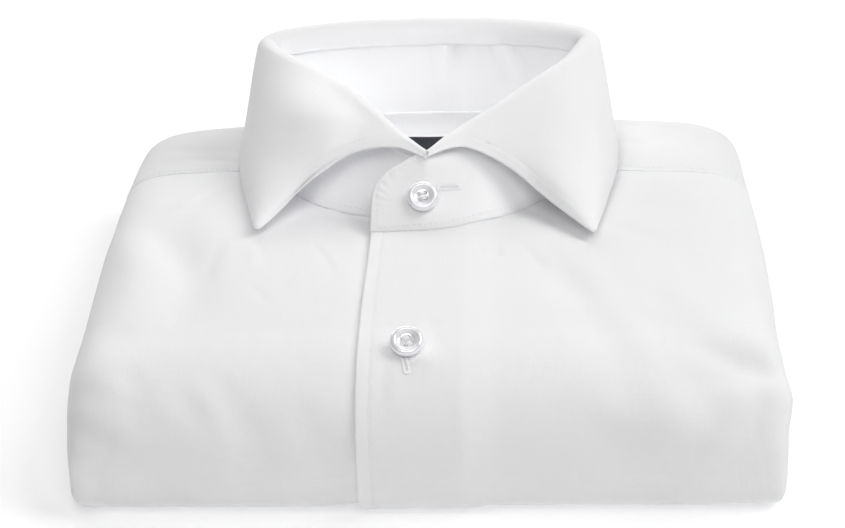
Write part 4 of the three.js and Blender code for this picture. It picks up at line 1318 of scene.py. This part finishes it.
def wave_node(tree, vector, scale, distortion):
    return node_of(tree, "TexWave", "Fac", {"Scale": scale, "Distortion": distortion}, {"Vector": vector})


def paint(tree, shader, tone, low, high):
    mix = tree.nodes.new("ShaderNodeMix")
    mix.data_type = "RGBA"
    mix.inputs["A"].default_value = (*low, 1)
    mix.inputs["B"].default_value = (*high, 1)
    tree.links.new(tone, mix.inputs["Factor"])
    tree.links.new(mix.outputs["Result"], shader.inputs["Base Color"])


def bump(tree, shader, *layers):
    """Bumps on the shader's normal, each over the last: height, distance and strength."""
    below = {}
    for height, distance, strength in layers:
        settings = {"Strength": strength, "Distance": distance}
        below = {"Normal": node_of(tree, "Bump", "Normal", settings, {"Height": height, **below})}
    tree.links.new(below["Normal"], shader.inputs["Normal"])


def woven(tree, pitch):
    """Height of a plain weave, and of its uneven threads, over the cloth's own distances."""
    cloth = node_of(tree, "UVMap", "UV")
    cloth.node.uv_map = "cloth"
    split = node_of(tree, "SeparateXYZ", "X", links={"Vector": cloth}).node
    turns = [math_node(tree, "MULTIPLY", split.outputs[axis], math.pi / pitch) for axis in "XY"]
    weave = math_node(tree, "MULTIPLY", *(math_node(tree, "SINE", turn) for turn in turns))
    slubs = []
    for scale in ((1500, 40, 1), (40, 1500, 1)):
        stretched = node_of(tree, "Mapping", "Vector", {"Scale": scale}, {"Vector": cloth})
        slubs.append(noise_node(tree, stretched, 1.0, 2))
    return weave, math_node(tree, "ADD", *slubs)


def shirting_material():
    # light passes through the thin cloth
    material, tree, shader = new_material(
        "shirting_poplin", Sheen_Weight=0.12, Sheen_Roughness=0.4, Specular_IOR_Level=0.25,
        Subsurface_Weight=0.5, Subsurface_Radius=(1, 1, 1), Subsurface_Scale=0.004)
    weave, slubs = woven(tree, 0.00034)
    place = object_place(tree)
    soft = noise_node(tree, place, 55, 3)
    tone = math_node(tree, "ADD", mixed(tree, (slubs, 0.45), (soft, 0.3)), math_node(tree, "MULTIPLY", weave, 0.08))
    paint(tree, shader, tone, (0.905, 0.905, 0.917), (0.955, 0.955, 0.965))
    rough = math_node(tree, "ADD", math_node(tree, "MULTIPLY", soft, 0.12), 0.72)
    tree.links.new(rough, shader.inputs["Roughness"])
    crumple = noise_node(tree, place, 300, 5, 0.62)
    bump(tree, shader, (crumple, 0.00012, 0.6), (slubs, 0.00006, 0.6), (weave, 0.00004, 0.7))
    return material


def thread_material():
    material, tree, shader = new_material("sewing_thread", Roughness=0.5)
    ply = wave_node(tree, object_place(tree), 2600, 2)
    paint(tree, shader, ply, (0.88, 0.88, 0.895), (0.95, 0.95, 0.96))
    bump(tree, shader, (ply, 0.00001, 0.5))
    return material


def label_material():
    material, tree, shader = new_material(
        "woven_label", Roughness=0.7, Specular_IOR_Level=0.2, Sheen_Weight=0.03)
    weave, slubs = woven(tree, 0.00028)
    paint(tree, shader, mixed(tree, (weave, 0.3), (slubs, 0.4)), (0.006, 0.007, 0.011), (0.02, 0.022, 0.03))
    bump(tree, shader, (weave, 0.00006, 0.8))
    return material


def pearl_material():
    # the layers of pearl reflect a little like metal, which gives dark and bright arcs
    material, tree, shader = new_material(
        "pearl_button", Metallic=0.2, Roughness=0.15, IOR=1.5, Coat_Weight=0.6, Coat_Roughness=0.03)
    place = object_place(tree)
    clouds = noise_node(tree, place, 420, 4, 0.6)
    tone = mixed(tree, (clouds, 0.6), (wave_node(tree, place, 130, 7), 0.4))
    paint(tree, shader, tone, (0.92, 0.91, 0.95), (0.99, 0.98, 1.0))
    bump(tree, shader, (clouds, 0.00002, 0.3))
    return material


# ---- Make the pieces ----
SHIRTING, THREAD = shirting_material(), thread_material()


def cloth(obj, node):
    return finish_piece(obj, SHIRTING, "shirting", node)


def stitching(part, tree, rows, seed):
    """Stitches along each row of a part, with a seed that counts up."""
    made = [stitch_row(f"stitches_{part}_{k}", tree, row, seed + k) for k, row in enumerate(rows)]
    return [finish_piece(obj, THREAD, "shirting") for obj in made]


cloth(folded_layers(), "folded_layers")
front_lower = cloth(lower_front(), "front_lower")

front_upper, upper_tree, placket_seam = upper_front()
cloth(front_upper, "front_upper")
placket = finish_piece(stitch_row("stitches_placket", upper_tree, placket_seam, 2), THREAD, "shirting")

yoke, yoke_tree, yoke_seams = yoke_piece()
cloth(yoke, "yoke")
yoke_stitches = stitching("yoke", yoke_tree, yoke_seams, 30)
lining = cloth(yoke_inside(), "yoke_inside")

stand, stand_tree, stand_rows = stand_piece()
cloth(stand, "collar_stand")
stand_stitches = stitching("stand", stand_tree, stand_rows, 20)

leaf, leaf_tree, leaf_rows = leaf_piece()
cloth(leaf, "collar_leaf")
leaf_stitches = stitching("leaf", leaf_tree, leaf_rows, 5)

LABEL_CLOTH = label_material()
label, label_tree, label_border = label_piece()
finish_piece(label, LABEL_CLOTH, "label", "label")
label_stitches = finish_piece(stitch_row("stitches_label", label_tree, label_border, 40), LABEL_CLOTH, "label")

BUTTONHOLES = {"stand": ((2.8, 8.4, 60.0), (10.4, 11.4, 58.6)), "front": ((-7.2, -93.2, 46.0), (-5.7, -101.0, 43.5))}
stand_hole = finish_piece(buttonhole("buttonhole_stand", stand_tree, *BUTTONHOLES["stand"]), THREAD, "shirting")
front_hole = finish_piece(buttonhole("buttonhole_front", upper_tree, *BUTTONHOLES["front"]), THREAD, "shirting")

PEARL = pearl_material()


def sew_on_button(where, point, facing, spin):
    button = button_mesh(f"button_{where}_pearl")
    out = Vector(facing).normalized()
    turn = Vector((0, 0, 1)).rotation_difference(out)
    place = (Vector(point) + out * BUTTON_GAP + Vector((0, SHIFT_Y, 0))) / 1000
    spun = Matrix.Rotation(math.radians(spin), 4, "Z")
    button.data.transform(Matrix.Translation(place) @ turn.to_matrix().to_4x4() @ spun)
    finish_piece(button, PEARL, "pearl", f"button_{where}")
    finish_piece(button_threads(f"threads_{where}_button", point, facing, spin), THREAD, "pearl")


def seat_on_fold(dx, dturn):
    return body_row(("front", FRONT_PIVOT_Y, FRONT_BUTTON["turn"] + dturn), np.array([FRONT_BUTTON["x"] + dx]))[0]


band_end = band_frame([0.0], [1.0], [0.0], [COLLAR_CENTRE_X - COLLAR_BUTTON_X])
sew_on_button("collar", stand_points(band_end, COLLAR_BUTTON_UP, np.array([BAND / 2]))[0], band_end["out"][0], 12)

flat_normal = unit(np.cross(seat_on_fold(3, 0) - seat_on_fold(-3, 0), seat_on_fold(0, 4) - seat_on_fold(0, -4)))
tip = math.radians(FRONT_BUTTON["tip"])
front_seat = seat_on_fold(0, 0) + flat_normal * (RAISE + (BUTTON["radius"] - FRONT_BUTTON["foot"]) * math.sin(tip))
sew_on_button("front", front_seat, np.array(Matrix.Rotation(tip, 3, "X") @ Vector(flat_normal)), 30)


# ---- Stage, camera and lights ----
def area_light(name, place, target, size, energy):
    data = bpy.data.lights.new(name, "AREA")
    data.shape, data.size, data.size_y = "RECTANGLE", size[0], size[1]
    data.energy = energy
    obj = linked(name, data)
    obj.location = place
    obj.rotation_mode = "QUATERNION"
    obj.rotation_quaternion = (Vector(target) - Vector(place)).to_track_quat("-Z", "Y")
    return obj


def lay_floor(size, drop):
    mesh = bpy.data.meshes.new("floor")
    mesh.from_pydata([(-size, -size, 0), (size, -size, 0), (size, size, 0), (-size, size, 0)], [], [(0, 1, 2, 3)])
    obj = linked("floor", mesh)
    obj.location = (0, 0, -drop)
    material, tree, shader = new_material(
        "floor_white", Roughness=0.9, Emission_Color=(1, 1, 1, 1), Emission_Strength=0.15)
    paint(tree, shader, noise_node(tree, object_place(tree), 3, 2), (0.93, 0.93, 0.93), (0.96, 0.96, 0.96))
    mesh.materials.append(material)


CAMERA_TARGET = Vector((-0.005, 0.02668, 0.020))
CAMERA = {"elevation": 27.0, "azimuth": 2.6, "distance": 0.960, "roll": -1.892, "focal_px": 2500.4, "frame_px": 845}


def place_camera():
    elevation, azimuth, roll = (math.radians(CAMERA[k]) for k in ("elevation", "azimuth", "roll"))
    level = math.cos(elevation)
    back = Vector((math.sin(azimuth) * level, -math.cos(azimuth) * level, math.sin(elevation)))
    right = Vector((math.cos(azimuth), math.sin(azimuth), 0))
    up = back.cross(right)
    turned = Matrix((
        right * math.cos(roll) + up * math.sin(roll), up * math.cos(roll) - right * math.sin(roll), back
    )).transposed()
    data = bpy.data.cameras.new("camera")
    data.sensor_width = 36
    data.lens = CAMERA["focal_px"] * data.sensor_width / CAMERA["frame_px"]
    data.clip_start, data.clip_end = 0.01, 50
    camera = linked("camera", data)
    camera.matrix_world = Matrix.Translation(CAMERA_TARGET + back * CAMERA["distance"]) @ turned.to_4x4()
    bpy.context.scene.camera = camera


lay_floor(6.0, 0.0004)
place_camera()
world = bpy.data.worlds.new("studio")
bpy.context.scene.world = world
world.use_nodes = True
world.node_tree.nodes["Background"].inputs["Color"].default_value = (1, 1, 1, 1)
world.node_tree.nodes["Background"].inputs["Strength"].default_value = 0.05
MIDDLE = (0, 0, 0.03)
area_light("key_right", (0.9, 0.0, 1.1), MIDDLE, (0.9, 0.9), 10.3)
area_light("top_back", (0.0, 0.9, 1.1), MIDDLE, (0.9, 0.9), 5.8)
area_light("top_front", (0.0, -0.9, 1.1), MIDDLE, (0.9, 0.9), 8.2)
area_light("front_fill", (0.0, -1.5, 0.5), MIDDLE, (1.2, 0.8), 0.5)
area_light("left_fill", (-0.75, 1.05, 0.65), MIDDLE, (0.8, 0.8), 5.6)
neck_fill = area_light("neck_fill", (-0.012, 0.052, 0.070), (-0.012, 0.1, 0.069), (0.08, 0.012), 0.0115)
neck_fill.visible_camera = False
bpy.context.scene.view_settings.view_transform = "Standard"
bpy.context.scene.cycles.max_bounces = 16
bpy.context.scene.cycles.diffuse_bounces = 12
bpy.context.scene.cycles.transmission_bounces = 12
